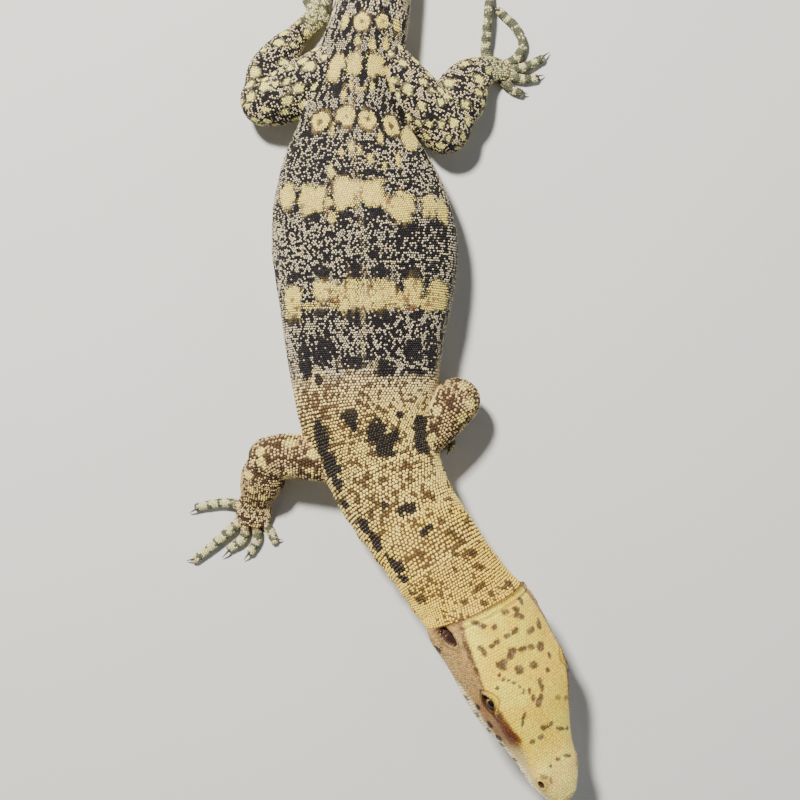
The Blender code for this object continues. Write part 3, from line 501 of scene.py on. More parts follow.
@dataclass
class Limb:
    """A leg part or a toe: a tube of ellipses along a smooth path.

    Attributes:
        rows: Table of x, y, z, half width and half height in mm.
        coat: Depth of the scales, by which the skin lies inside the solids.
    """

    rows: tuple
    coat: float = 0.18 * MM

    def __post_init__(self) -> None:
        """Carry a frame along the path that never twists about it."""
        self.fine = np.linspace(0.0, len(self.rows) - 1.0, 24 * (len(self.rows) - 1) + 1)
        table = smooth_rows(self.rows, self.fine)
        self.middle = table[:, :3] * MM
        self.sizes = table[:, 3:5] * MM
        self.run = unit(np.gradient(self.middle, axis=0))
        side = np.cross(self.run[0], (0.0, 0.0, 1.0))
        sides = []
        for run in self.run:
            side = side - run * side.dot(run)
            side = side / np.linalg.norm(side)
            sides.append(side)
        self.side = np.array(sides)
        self.up = np.cross(self.side, self.run)
        steps = np.linalg.norm(np.diff(self.middle, axis=0), axis=1)
        self.along = np.concatenate(((0.0,), np.cumsum(steps)))

    def surface(self, lengths: Array, angles: Array, grow: float = 0.0) -> Array:
        """Return points at lengths along the path and angles: middle plus two axes of an ellipse.

        Past either end the ellipse shrinks as the root of one minus the square of the share of the
        end's half height that lies behind, which closes the tube in a round cap.
        """
        def read(table: Array) -> Array:
            """Read a table of the path at the lengths."""
            return np.stack([np.interp(inner, self.along, column) for column in table.T], 1)

        inner = np.clip(lengths, 0.0, self.along[-1])
        reach = np.where(lengths > inner, self.sizes[-1].min(), self.sizes[0].min()) + grow
        past = np.clip((lengths - inner) / reach, -1.0, 1.0)
        sizes = np.maximum(read(self.sizes) + grow, 0.15 * MM) * np.sqrt(1.0 - past ** 2)[:, None]
        return (read(self.middle) + (past * reach)[:, None] * read(self.run)
                + (np.cos(angles) * sizes[:, 0])[:, None] * read(self.side)
                + (np.sin(angles) * sizes[:, 1])[:, None] * read(self.up))

    def ends(self, share: float) -> tuple[float, float]:
        """Return the first and last length when that share of each round cap is taken in."""
        return -share * self.sizes[0].min(), self.along[-1] + share * self.sizes[-1].min()

    def tube(self, name: str, rings: int, sides: int, grow: float) -> Thing:
        """Make the part as a closed tube with rounded ends."""
        sines = np.sin(np.radians((72.0, 50.0, 25.0)))
        low, high = self.ends(1.0)
        lengths = np.concatenate((low * sines, np.linspace(0.0, self.along[-1], rings),
                                  self.along[-1] + (high - self.along[-1]) * sines[::-1]))
        ring, turn = np.meshgrid(lengths, turns(sides), indexing="ij")
        grid = self.surface(ring.ravel(), turn.ravel(), grow).reshape(len(lengths), sides, 3)
        return shell(name, grid)

    def locate(self, points: Array) -> tuple[Array, Array, Array]:
        """Return the length along, the turn from the top and the depth, 1 on the surface."""
        nearest = np.concatenate([
            np.argmin(((block[:, None, :] - self.middle[None]) ** 2).sum(-1), axis=1)
            for block in np.array_split(points, max(1, len(points) // 40000))
        ])
        away = points - self.middle[nearest]
        across = (away * self.side[nearest]).sum(-1) / self.sizes[nearest, 0]
        height = (away * self.up[nearest]).sum(-1) / self.sizes[nearest, 1]
        past = (away * self.run[nearest]).sum(-1)
        depth = np.sqrt(across ** 2 + height ** 2 + (past / self.sizes[nearest].mean(-1)) ** 2)
        return self.along[nearest] + past, np.arctan2(across, height), depth


@dataclass
class Head:
    """The head, in its own frame and in millimetres: x to the left, y back and z up from the nape.

    Attributes:
        rows: Table of cross sections.
        yaw: Turn of the head to its left, in degrees.
        pitch: Nod downwards, in degrees.
        roll: Roll that turns its right side up, in degrees.
        squareness: Power of the sections, which grows by snout_squareness along the snout.
        coat: Depth of the plates, by which the skin lies inside the solids.

    The other fields place the ridge of the crown, the brow, the socket of the eye, the lips, the
    eye, the ear and the nostril: forward of the nape, height, outwards, level as a share of the
    crown's height, and spread or length of the form.
    """

    rows: tuple = HEAD_ROWS
    yaw: float = 23.0
    pitch: float = 5.0
    roll: float = 30.0
    squareness: float = 2.3
    snout_start: float = 12.0
    snout_length: float = 18.0
    snout_squareness: float = 0.5
    ridge_level: float = 0.7
    ridge_spread: float = 0.2
    ridge_height: float = 0.45
    ridge_middle: float = 22.0
    ridge_length: float = 15.0
    brow_height: float = 1.5
    brow_forward: float = 19.5
    brow_length: float = 6.5
    socket_depth: float = 1.3
    socket_height: float = 3.2
    socket_length: float = 5.0
    socket_spread: float = 2.3
    lip_out: float = 0.3
    lip_height: float = -1.6
    lip_spread: float = 1.3
    lip_start: float = 13.0
    lip_fade: float = 8.0
    eye_forward: float = 18.4
    eye_height: float = 4.05
    eye_out: float = 8.35
    eye_radius: float = 1.95
    ear_forward: float = 1.5
    ear_height: float = 1.9
    nostril_forward: float = 40.3
    nostril_height: float = 2.4
    coat: float = 0.08

    def frame(self) -> Matrix:
        """Return the matrix that carries the head's own frame to its place at the nape."""
        turn = (Matrix.Rotation(math.radians(self.yaw), 4, "Z")
                @ Matrix.Rotation(math.radians(self.pitch), 4, "X")
                @ Matrix.Rotation(math.radians(self.roll), 4, "Y"))
        return Matrix.Translation(Vector(TRUNK_ROWS[0][:3]) * MM) @ turn

    def to_world(self, points: Array) -> Array:
        """Carry points of the head's own frame to the model's frame."""
        frame = np.array(self.frame())
        return points * MM @ frame[:3, :3].T + frame[:3, 3]

    def to_head(self, points: Array) -> Array:
        """Carry points of the model's frame to the head's own frame."""
        frame = np.array(self.frame())
        return (points - frame[:3, 3]) @ frame[:3, :3] / MM

    def mouth_height(self, ahead: Array) -> Array:
        """Return the height of the line of the mouth at distances forward of the nape."""
        line = smooth_rows(MOUTH_ROWS, np.linspace(0.0, len(MOUTH_ROWS) - 1.0, 60))[::-1]
        return np.interp(ahead, line[:, 0], line[:, 1])

    def eye_gap(self, ahead: Array, height: Array) -> Array:
        """Return the distance from the middle of the eye as a share of the almond of the lids."""
        forward = ahead - self.eye_forward
        along = np.abs(forward) / 2.35
        across = np.abs(height - self.eye_height + 0.12 * forward) / 1.55
        return (along ** 1.75 + across ** 1.9) ** (1 / 1.8)

    def ear_gap(self, ahead: Array, height: Array) -> Array:
        """Return the distance from the middle of the ear as a share of its opening."""
        forward = ahead - self.ear_forward
        return np.hypot(forward / 2.8, (height - self.ear_height - 0.45 * forward) / 1.3)

    def nostril_gap(self, ahead: Array, height: Array) -> Array:
        """Return the distance from the middle of the nostril as a share of its opening."""
        rise = height - self.nostril_height
        return np.hypot((ahead - self.nostril_forward + 0.5 * rise) / 0.95, rise / 0.55)

    def plain(self, ahead: Array, angles: Array) -> Array:
        """Return the head's plain shape: superellipses with ridges, brows, sockets and lips.

        Args:
            ahead: Distances forward of the nape, flat.
            angles: Angles round the section, flat and of the same length.

        Returns:
            Points in the head's own frame.
        """
        rows = np.asarray(self.rows)
        table = smooth_rows(self.rows, np.interp(ahead, rows[:, 0], np.arange(len(rows))))
        width, rise, drop = (table[:, k] - self.coat for k in (1, 2, 3))
        snout = self.snout_squareness * np.clip((ahead - self.snout_start) / self.snout_length, 0, 1)
        x, z = superellipse(angles, width, rise, drop, self.squareness + snout, self.squareness)
        ridge = (self.ridge_height * bump(ahead, self.ridge_middle, self.ridge_length)
                 + self.brow_height * bump(ahead, self.brow_forward, self.brow_length))
        socket = (bump(ahead, self.eye_forward, self.socket_length)
                  * bump(z, self.socket_height, self.socket_spread))
        lip = (bump(z, self.lip_height, self.lip_spread)
               * np.clip((ahead - self.lip_start) / self.lip_fade, 0, 1))
        out = (ridge * bump(z / rise, self.ridge_level, self.ridge_spread) * (z > 0)
               - self.socket_depth * socket + self.lip_out * lip)
        x = x + np.sign(x) * out * np.clip(np.abs(x) / width * 1.6, 0.0, 1.0)
        return np.stack((x, -ahead, z), -1)

    def relief(self, local: Array) -> tuple[Array, Array]:
        """Return how far the fine forms stand out of the plain shape, sideways and squarely.

        Lids are a ring round the almond of the eye and the eye's opening a hollow inside it. The
        mouth is a groove along its line between two lips. Ears and nostrils are hollows with rims.
        """
        across, ahead, height = local[:, 0], -local[:, 1], local[:, 2]
        eye, ear, nose = self.gaps(ahead, height)
        lids = (0.40 * bump(eye, 1.1, 0.13) + 0.12 * bump(eye, 1.62, 0.12)
                - 0.1 * bump(eye, 1.4, 0.08) - 1.9 * ramp(eye, 0.98, 0.8))
        brow = bump(ahead, self.eye_forward + 0.1, 3.0) * bump(height, 5.3, 1.0)
        ears = -1.9 * ramp(ear, 1.05, 0.7) + 0.3 * bump(ear, 1.28, 0.2)
        nostrils = -0.9 * ramp(nose, 1.0, 0.5) + 0.2 * bump(nose, 1.3, 0.3)
        swell = 0.25 * bump(ahead, self.nostril_forward, 2.4) * bump(height, 2.2, 1.6)
        gap = height - self.mouth_height(ahead)
        mouth = (-0.36 * bump(gap, 0.0, 0.14) + 0.16 * bump(gap, 0.55, 0.4)
                 + 0.08 * bump(gap, -0.6, 0.45))
        fold = -0.22 * bump(ahead, 1.6, 0.3) * ramp(height, 1.0, 4.0)
        aside = lids - 0.6 * brow * (across < 0) + ears + nostrils + swell
        aside = aside + jowls(ahead, across, height)
        return (aside * (np.abs(across) > 1.5) * np.sign(across),
                mouth * ramp(ahead, 11.5, 13.5) + fold)

    def gaps(self, ahead: Array, height: Array) -> tuple:
        """Return the distances from the eye, the ear and the nostril as shares of their size."""
        return tuple(gap(ahead, height) for gap in (self.eye_gap, self.ear_gap, self.nostril_gap))

    def build(self) -> Thing:
        """Make the whole head as one closed fine grid, with its lines crowded at the fine forms."""
        place = np.linspace(0.0, self.rows[-1][0], 4000)
        step = np.full(len(place), 0.36)
        for middle, reach, fine in ((self.eye_forward, 3.6, 0.15), (self.nostril_forward, 1.6, 0.16),
                                    (self.ear_forward, 2.2, 0.24)):
            step = np.minimum(step, fine + 0.4 * np.maximum(np.abs(place - middle) - reach, 0.0))
        count = np.cumsum(1.0 / step)
        rings = np.interp(np.linspace(count[0], count[-1], int(count[-1] * (place[1] - place[0]))),
                          count, place)
        turn = turns(4000)
        near_eye = np.minimum(np.abs(turn - 0.42), np.abs(turn - (math.pi - 0.42)))
        near_mouth = np.minimum(np.abs(turn - (TAU - 0.27)), np.abs(turn - (math.pi + 0.27)))
        count = np.cumsum(1.0 + 2.2 * (near_eye < 0.3) + 2.2 * (near_mouth < 0.17))
        around = np.interp(np.linspace(count[0], count[-1], 250, endpoint=False), count, turn)
        ring, angle = np.meshgrid(rings, around, indexing="ij")
        local = self.plain(ring.ravel(), angle.ravel())
        grid = local.reshape(*ring.shape, 3)
        tilt = unit(np.cross(np.gradient(grid, axis=0), np.gradient(grid, axis=1)))
        outward = np.sign((tilt * (grid - grid.mean(1, keepdims=True))).sum(-1).mean())
        sideways, squarely = self.relief(local)
        local = local + (outward * tilt).reshape(-1, 3) * squarely[:, None]
        local[:, 0] += sideways
        grid = local.reshape(grid.shape)
        middle = grid[-1].mean(0)
        reach = np.array((0.0, -0.25, 0.0))
        nose = np.array([middle + (grid[-1] - middle) * share + reach * (1.0 - share ** 2)
                         for share in (0.85, 0.6, 0.3)])
        grid = np.concatenate((grid, nose))
        return shell("head_shape", self.to_world(grid.reshape(-1, 3)).reshape(grid.shape))


class Mark(Enum):
    """Kinds of mark on the skin."""

    PALE = "pale patch with ragged edges"
    RING = "pale ring with a dark middle"
    DARK = "solid dark patch"
    BAR = "soft grey-violet bar of the head"
    BROWN = "brown patch"
    RED = "red-brown stripe"


@dataclass(frozen=True)
class View:
    """The camera: straight above, its picture's top towards the tail.

    Attributes:
        x: Place across in metres.
        y: Place along.
        z: Height.
        lens: Focal length in mm for a 36 mm sensor.
        pixels: Width of the picture.
    """

    x: float = 8.14 * MM
    y: float = -30.8 * MM
    z: float = 330.0 * MM
    lens: float = 65.45
    pixels: float = 800.0

    def ray(self, across: float, down: float) -> tuple[Vector, Vector]:
        """Return the start and direction of the sight line through a pixel."""
        share = 36.0 / self.lens / self.pixels
        aim = Vector(((across - self.pixels / 2) * share, (self.pixels / 2 - down) * share, -1.0))
        return Vector((self.x, self.y, self.z)), aim.normalized()


# Marks where the photograph's camera sees them: pixels across and down to the middle, half width
# and half height in pixels, and the turn of the wide axis in degrees, clockwise on the page.
TRUNK_MARKS = {
    Mark.PALE: (
        (345, 22, 3, 6), (397, 26, 3, 6), (335, 69, 7, 13, 20), (354.5, 63.5, 9, 10), (375, 64.5, 9, 11),
        (391.5, 78, 5.5, 12, -8), (372, 44, 3.5, 5), (357, 41, 3, 4), (386, 44, 3, 5), (351, 86, 2.5, 4),
        (362, 88, 6, 2), (372, 86, 2.5, 3), (344, 96, 2.5, 5), (411, 139, 6, 10, -20), (331, 128, 3, 8),
        (380, 138, 2.5, 5), (341, 151, 2.5, 3.5), (350, 147, 2.5, 3.5), (359, 151, 3, 3.5),
        (370, 158, 2.5, 4), (331, 172, 2.5, 6), (384, 166, 2, 4), (398, 160, 2, 5), (287, 197, 7, 12),
        (313, 198.5, 13, 14), (344.5, 192, 12, 17), (332, 217, 5, 5), (372, 191, 12, 14),
        (402, 208, 12, 15, 12), (429, 204, 6.5, 12), (443, 211, 5, 11), (291.5, 302, 8.5, 15.5),
        (322, 290, 9, 9), (337, 297, 8, 12), (354, 293.5, 12.5, 15.5), (383, 295, 12, 17), (400, 300, 8, 9),
        (413, 292, 10, 12), (438, 296, 10, 14), (424, 304, 8, 7), (312, 306, 8, 4), (329, 202, 5, 5),
        (358.5, 193, 4, 11), (387, 203, 5, 7), (368.5, 294, 4, 14), (346, 296, 5, 12),
    ),
    Mark.RING: (
        (362, 21, 8.5, 8.5), (382.7, 21, 7, 7.5), (320, 121.5, 9.5, 10), (346, 116, 9.5, 9.5),
        (367.5, 119, 9, 9), (391.5, 126, 8, 10),
    ),
    Mark.DARK: (
        (347, 172, 8, 4), (372, 173, 8, 4), (347, 215, 8, 4), (376, 213, 9, 5), (310, 219, 9, 4),
        (410, 228, 10, 5, 20), (437, 224, 5, 5), (355, 270, 9, 8), (379.5, 270, 9, 8.5), (292, 278, 7, 7),
        (409, 272, 10, 6), (323, 272, 10, 7, 30), (432, 268, 7, 5), (357, 316, 9, 8.5),
        (383.5, 317.5, 9.5, 9), (293.7, 322, 7, 5), (319, 313, 8, 3.5), (418.5, 315, 5.5, 7, 30),
        (321.5, 350, 11, 15), (305, 362, 6, 18, -14), (356.5, 364, 10, 7), (385, 367.5, 10, 9.5),
        (371, 357, 8, 4), (414, 350, 10, 12), (431, 350, 6, 18, 8), (318, 380, 4, 6), (350, 417, 8, 7),
        (354, 425, 4, 6), (377, 431, 12, 10.5), (385, 447, 10, 12, -20), (393, 438, 6, 9),
        (322, 443, 6.5, 19, -18), (331, 465, 7, 17, -14), (338, 484, 5, 9, -30), (421, 428, 6.5, 12),
        (422, 446, 7, 9), (400, 414, 4, 4), (407.5, 509, 6, 7), (385, 504.5, 3.5, 4),
        (428, 527, 6, 3.5, -25), (424, 533, 4, 5), (365, 527, 5, 8, -42), (377, 543, 5, 9, -42),
        (396, 566, 5, 13, -35), (404, 578, 4, 6, -30), (345, 505, 3, 4),
    ),
    Mark.BROWN: (
        (368, 475, 3.5, 6), (433, 497, 5, 3.5), (448, 500, 4, 3), (451, 534, 5, 4), (442, 521, 3.5, 3),
        (460, 540, 4, 2.5, 35), (456, 554, 7, 2.2), (471, 553, 5, 2.6), (480, 568, 4.5, 4),
        (455, 568, 3, 3.5), (492, 593, 3.5, 5, 40), (486, 585, 2.5, 4), (465, 603, 4.5, 3.5),
        (484, 603, 3, 2.5), (507, 585, 6, 3, -35), (423, 600, 5, 5), (400, 470, 3, 4), (381, 480, 3, 3.5),
        (410, 478, 3, 3), (395, 492, 3, 3), (346, 284, 2, 2.5), (345, 297, 2, 2), (398, 290, 2, 4),
        (421, 297, 2, 3), (292, 300, 2, 2), (297, 308, 2, 2), (358, 500, 3, 5), (372, 512, 3, 3),
        (419, 553, 4, 2.5),
    ),
    Mark.RED: (
        (361, 194, 1.6, 4.5), (328, 207, 2.5, 3), (331.5, 188, 2, 3), (388, 201, 2, 3.5),
        (368.5, 291, 1.6, 6), (331, 300, 3, 2), (337, 302, 4, 1.8, -30), (407, 299, 3, 3), (427, 305, 3, 2),
        (412, 308, 4, 2),
    ),
}
HEAD_MARKS = {
    Mark.DARK: (
        (490, 725, 2, 4, -40), (499, 738, 2, 4, -40), (478, 707, 1.8, 4, -30), (424, 629, 2.6, 5, -30),
        (437, 650, 3, 4, -30),
    ),
    Mark.BAR: (
        (476, 623, 5, 2.6, 10), (483, 626, 4, 3), (495, 627, 3.5, 3.2), (505, 612, 5, 2.6, -20),
        (519, 616, 6, 3.2, 10), (521, 601, 2.5, 4.5, -20), (516, 609, 4, 3), (507, 636, 4.2, 2.8, -28),
        (515, 631, 4, 3.4, -28), (539, 624, 2.4, 5.5, -20), (530.5, 630.5, 4.5, 3.4, -30),
        (497, 642, 3.2, 3, -20), (492, 646, 3.2, 2.6), (483.5, 652, 3, 5.5, -28), (480, 648, 2.6, 2.6),
        (502, 666, 7, 3.6, 28), (504, 662, 4, 3.6), (510, 656, 3.6, 5.5, 35), (512, 651, 4.4, 3.6),
        (522.5, 649, 5, 2.8, -12), (531, 647, 3.6, 3.2), (540.3, 646.5, 3.8, 5.2), (520, 670, 4.2, 5),
        (517, 668, 3, 3), (534, 665, 4.4, 4.2), (540, 682, 2.4, 4.5), (542, 688, 2.4, 4),
        (541, 697, 2.8, 3.5), (538.5, 703, 3.4, 4.6), (529.5, 690.5, 2, 3.6, -20),
        (533.5, 698, 2.2, 3.2, -20), (499.5, 675, 1.6, 2.2), (503, 679.5, 1.8, 2.2),
        (508.5, 680.5, 1.8, 1.6), (514, 682.8, 2.4, 1.8), (519.5, 686.5, 2.6, 1.5, 35),
        (523.5, 691.5, 1.2, 3), (497.5, 688, 2.2, 2.6), (524.3, 716, 2, 4.5, 15), (523, 723, 1.6, 3.5),
        (548, 670, 2.6, 2.8), (549.5, 655, 2, 4, -25), (544, 727.5, 3.6, 2.8), (551.5, 724, 2.4, 2.8),
        (560, 728.5, 4.6, 2.2), (567, 728, 1.6, 2), (541, 737, 3.6, 2.6), (532.5, 741.5, 2.8, 2.4),
        (567, 755.6, 4.4, 1.8), (550.5, 766, 1.6, 1.6), (558, 759, 2.4, 2),
    ),
    Mark.BROWN: (
        (558, 697.5, 3, 3), (566, 698, 2.2, 3), (467, 648, 2.2, 8, -24), (476.5, 671, 2.6, 4.5, -18),
        (471, 660, 1.6, 6, -24), (544, 777, 5.5, 2.2, 10), (551, 781, 1.8, 4),
    ),
    Mark.RED: (
        (517, 738, 2.6, 7, -40),
    ),
}


# Height of the edge between crown and temple: forward of the nape and height, mm.
CROWN_EDGE = ((0.0, 8.0, 15.0, 21.0, 24.0, 27.0, 31.0, 36.0, 48.0),
              (5.6, 5.7, 5.5, 5.9, 5.6, 5.0, 3.9, 2.4, 0.8))


@dataclass(frozen=True)
class Palette:
    """Colours of the animal in linear light; a few also serve as painted shade and highlights."""

    straw: tuple = (0.94, 0.77, 0.19)
    cream: tuple = (0.78, 0.62, 0.31)
    ash: tuple = (0.50, 0.46, 0.35)
    clay: tuple = (0.22, 0.095, 0.04)
    soot: tuple = (0.008, 0.006, 0.008)
    neck: tuple = (0.80, 0.62, 0.19)
    gold: tuple = (0.90, 0.61, 0.07)
    umber: tuple = (0.050, 0.022, 0.010)
    lemon: tuple = (1.0, 0.84, 0.09)
    # Crown orange, also used for painted highlights on the canthal ridge and the upper lid.
    honey: tuple = (0.98, 0.64, 0.05)
    ivory: tuple = (1.0, 0.84, 0.29)
    lip: tuple = (0.93, 0.84, 0.55)
    mauve: tuple = (0.055, 0.026, 0.032)
    temple: tuple = (0.42, 0.23, 0.055)
    rust: tuple = (0.13, 0.032, 0.010)
    bronze: tuple = (0.38, 0.24, 0.08)
    lime: tuple = (0.92, 0.85, 0.27)
    mint: tuple = (0.66, 0.66, 0.36)
    slate: tuple = (0.050, 0.060, 0.038)
    belly: tuple = (0.80, 0.66, 0.34)
    # Dark red of the ear's hollow, partly its own colour and partly painted shade; also painted shade in the
    # nostrils.
    hollow_shade_red: tuple = (0.022, 0.004, 0.003)
    pink: tuple = (0.80, 0.38, 0.16)
    lore: tuple = (0.22, 0.10, 0.05)
    lilac: tuple = (0.30, 0.17, 0.13)
    # Painted shade at the lid margin, where the lid meets the eyeball.
    lid: tuple = (0.05, 0.02, 0.012)
    # Painted shade in the fold round the lids.
    lid_fold_shade: tuple = (0.14, 0.06, 0.03)
    # Painted shade in the folds at the nape.
    fold: tuple = (0.13, 0.05, 0.015)
    peat: tuple = (0.066, 0.038, 0.016)


@dataclass
class Spots:
    """Places on the trunk with all that their colours are worked out from, as flat arrays.

    Attributes:
        grain: One random number a place, the same over each scale.
        bare: Whether the skin between the scales is meant, which is dark in dark places.
        along: Length along the spine.
        chord: Signed distance from the back's middle line.
        turn: Turn away from that line in radians.
        row: Fractional row of the trunk's table.
    """

    grain: Array
    bare: bool
    along: Array
    chord: Array
    turn: Array
    row: Array

    def __post_init__(self) -> None:
        """Unroll the skin and lay soft random clouds over it."""
        self.flat = np.stack((self.chord, self.along), -1)
        self.patchy, self.fine = cloud(self.flat, 2.6 * MM, 11), cloud(self.flat, 0.9 * MM, 12)
        self.wobble = 0.75 * (cloud(self.flat, 0.95 * MM, 13) - 0.5) + 0.35 * (self.grain - 0.5)


@dataclass
class Placed:
    """Marks in one flat chart of the skin, as arrays.

    Attributes:
        kinds: Kind of each mark.
        middles: Middle of each mark in the chart, in metres.
        axes: Half width and half height of each in metres, and the turn of its wide axis in radians.
    """

    kinds: list
    middles: Array
    axes: Array

    def inside(self, flat: Array, wobble: Array, kind: Mark, soft: float) -> Array:
        """Return how far places lie inside any mark of one kind, from 0 outside to 1 inside.

        A place's distance is the length of its offset turned to the ellipse's axes and divided by
        its half sizes, plus a wobble that roughens the edge.
        """
        most = np.zeros(len(flat))
        for number, own in enumerate(self.kinds):
            if own is kind:
                most = np.maximum(most, ramp(self.gap(flat, number) + wobble, 1.0 + soft, 1.0 - soft))
        return most

    def gap(self, flat: Array, number: int) -> Array:
        """Return the distance of places from one mark's middle as a share of its size."""
        away = flat - self.middles[number]
        wide, high, turn = self.axes[number]
        along = away[:, 0] * math.cos(turn) + away[:, 1] * math.sin(turn)
        across = -away[:, 0] * math.sin(turn) + away[:, 1] * math.cos(turn)
        power = 3.2 if self.kinds[number] is Mark.PALE else 2.0
        return ((np.abs(along) / wide) ** power + (np.abs(across) / high) ** power) ** (1.0 / power)


@dataclass
class Markings:
    """Colours of the whole animal as a function of place, for the skin and the scales alike."""

    spine: Spine
    head: Head
    limbs: dict
    toes: dict
    view: View = View()
    palette: Palette = Palette()

    def place_marks(self, skin: Thing) -> None:
        """Find each seen mark on the skin: follow its sight line and read off the chart there."""
        tree = BVHTree.FromObject(skin, bpy.context.evaluated_depsgraph_get())
        self.trunk_marks = self._placed(tree, TRUNK_MARKS, self._trunk_flat)
        self.head_marks = self._placed(tree, HEAD_MARKS, self._head_flat)

    def _trunk_flat(self, points: Array) -> Array:
        """Return the trunk's chart: signed chord from the back's middle line, length along."""
        along, chord, _, _ = self.spine.locate(points)
        return np.stack((chord, along), -1)

    def _head_flat(self, points: Array) -> Array:
        """Return the head's chart: its own x, pushed out by the height on its sides, and y."""
        across, back, height = self.head.to_head(points).T
        fall = np.maximum(4.0 - height, 0.0)
        return np.stack((across + np.sign(across) * fall, back), -1) * MM

    def _placed(self, tree: BVHTree, marks: dict, chart: callable) -> Placed:
        """Turn seen marks into marks of a chart.

        Args:
            tree: Search tree of the skin.
            marks: The seen marks by kind.
            chart: Function from points to the chart's two lengths.

        Returns:
            The marks that a sight line meets, with sizes read from three sight lines each.
        """
        kinds, spots = [], []
        for kind, group in marks.items():
            for x, y, wide, high, *lean in group:
                lean = math.radians(sum(lean))
                offsets = ((0.0, 0.0), (2 * math.cos(lean), 2 * math.sin(lean)),
                           (-2 * math.sin(lean), 2 * math.cos(lean)))
                hits = [tree.ray_cast(*self.view.ray(x + dx, y + dy))[0] for dx, dy in offsets]
                if all(hit is not None for hit in hits):
                    kinds.append(kind)
                    spots.append([*hits, (wide / 2, high / 2, 0.0)])
        spots = np.array([[tuple(place) for place in spot] for spot in spots])
        middle, one, two = (chart(spots[:, k]) for k in range(3))
        one, two, sizes = one - middle, two - middle, spots[:, 3]
        turn = np.arctan2(one[:, 1], one[:, 0])
        reach = np.stack((np.linalg.norm(one, axis=1), np.linalg.norm(two, axis=1)), -1)
        reach = np.clip(reach, 0.3 * MM, 1.1 * MM) * sizes[:, :2]
        return Placed(kinds, middle, np.concatenate((reach, turn[:, None]), -1))

    def trunk(self, points: Array, grain: Array, bare: bool) -> Array:
        """Colour the neck, torso and tail.

        Args:
            points: Places in metres.
            grain: One random number a place, the same over each scale.
            bare: Whether the skin between the scales is meant.

        Returns:
            Linear colours.
        """
        p = self.palette
        along, chord, turn, _ = self.spine.locate(points)
        row = self.spine.rows_at(along)
        at = Spots(grain, bare, along, chord, turn, row)
        straw = blend(0.15 * at.fine + 0.1 * grain, p.straw, p.cream)
        if bare:
            straw = straw * (0.46, 0.40, 0.36)

        def inside(wobble: Array, kind: Mark, soft: float) -> Array:
            """Return how far the places lie inside the trunk's marks of one kind."""
            return self.trunk_marks.inside(at.flat, wobble, kind, soft)

        halo = inside(at.wobble - 0.3, Mark.PALE, 0.10) * ramp(row, 6.8, 7.4)
        pale = inside(at.wobble * 0.85 + 0.16 * bare, Mark.PALE, 0.05)
        freckle = ramp(grain, 0.84, 0.88) * ramp(at.patchy, 0.40, 0.55) * ramp(row, 10.8, 9.8)
        colour = layered(self._warm(at),
                         (ramp(row + 0.5 * (at.patchy - 0.5), 6.75, 7.1), self._net(at)),
                         (ramp(row, 16.6, 17.2), self._tail(at)),
                         (0.7 * halo, p.soot),
                         (pale, blend(0.9 * freckle, straw, p.clay)),
                         (0.9 * inside(at.wobble, Mark.RED, 0.2), p.clay))
        colour = self._rings(at, colour, straw)
        dark = inside(at.wobble * 0.9 - 0.35 * bare, Mark.DARK, 0.08)
        fleck = 0.8 * ramp(grain, 0.93, 0.95) * (1.0 - bare) * ramp(row, 6.4, 7.2)
        vertebral = bump(chord, 0.0, 0.4 * MM) * ramp(row, 6.9, 7.4) * ramp(row, 16.0, 14.5)
        # Painted shade: an umber line in the crease where the neck's skin folds over the nape.
        crease = bump(along, -0.1 * MM, 0.45 * MM) * ramp(turn, 2.4, 1.8)
        colour = layered(colour,
                         (0.97 * dark * (1.0 - fleck), p.soot),
                         (0.9 * inside(1.5 * at.wobble, Mark.BROWN, 0.15), p.umber),
                         (0.65 * (1.0 - bare) * vertebral * ramp(at.fine, 0.25, 0.5), p.cream),
                         (0.85 * crease, p.umber))
        return self._under(at, colour)

    def _net(self, at: Spots) -> Array:
        """Colour torso and hips: pale scales strewn over soot in streaks that run with the body."""
        p = self.palette
        flank = ramp(at.turn, 0.7, 1.1)
        long = 0.62 - 0.34 * ramp(at.row, 10.5, 12.5)
        back = cloud(at.flat * np.stack((np.ones_like(long), long), -1), 0.52 * MM, 14)
        streak = (1.0 - flank) * back + flank * cloud(at.flat * (1.0, 0.2), 0.7 * MM, 15)
        single = (0.9 - 0.4 * ramp(at.row, 11.5, 13.5)) * (at.grain - 0.5)
        chosen = ramp(streak + single + 0.15 * (at.patchy - 0.5), 0.47, 0.53)
        pale = blend(0.6 * at.fine, p.ash, p.cream) * (0.6 + 0.6 * at.grain)[:, None]
        return blend(chosen * (1.0 - at.bare), p.soot, pale)

    def _warm(self, at: Spots) -> Array:
        """Colour neck and shoulders: golden towards the nape, with umber specks."""
        p = self.palette
        neck = ramp(at.row, 4.0, 2.2)
        if at.bare:
            return blend(0.04 + 0.1 * neck + 0.25 * ramp(at.row, 0.9, 0.4), p.umber, p.bronze)
        warm = blend(ramp(at.row, 6.9, 5.6), p.cream, p.neck)
        warm = blend(neck * (0.3 + 0.6 * at.patchy), warm, p.gold) * (0.82 + 0.3 * at.fine)[:, None]
        specks = ramp(at.grain + 0.6 * (at.patchy - 0.5), 0.72 + 0.2 * neck, 0.76 + 0.2 * neck)
        return layered(warm, (0.8 * ramp(at.row, 2.0, 0.6), p.gold), (0.9 * specks, p.umber))

    def _rings(self, at: Spots, colour: Array, straw: Array) -> Array:
        """Paint the pale rings with a dark middle and a dark rim."""
        for number, kind in enumerate(self.trunk_marks.kinds):
            if kind is Mark.RING:
                gap = self.trunk_marks.gap(at.flat, number) + 0.45 * at.wobble
                colour = layered(colour, (0.9 * ramp(gap, 1.45, 1.3), self.palette.soot),
                                 (ramp(gap, 1.0, 0.94), straw),
                                 (0.95 * ramp(gap, 0.30, 0.22), self.palette.umber))
        return colour

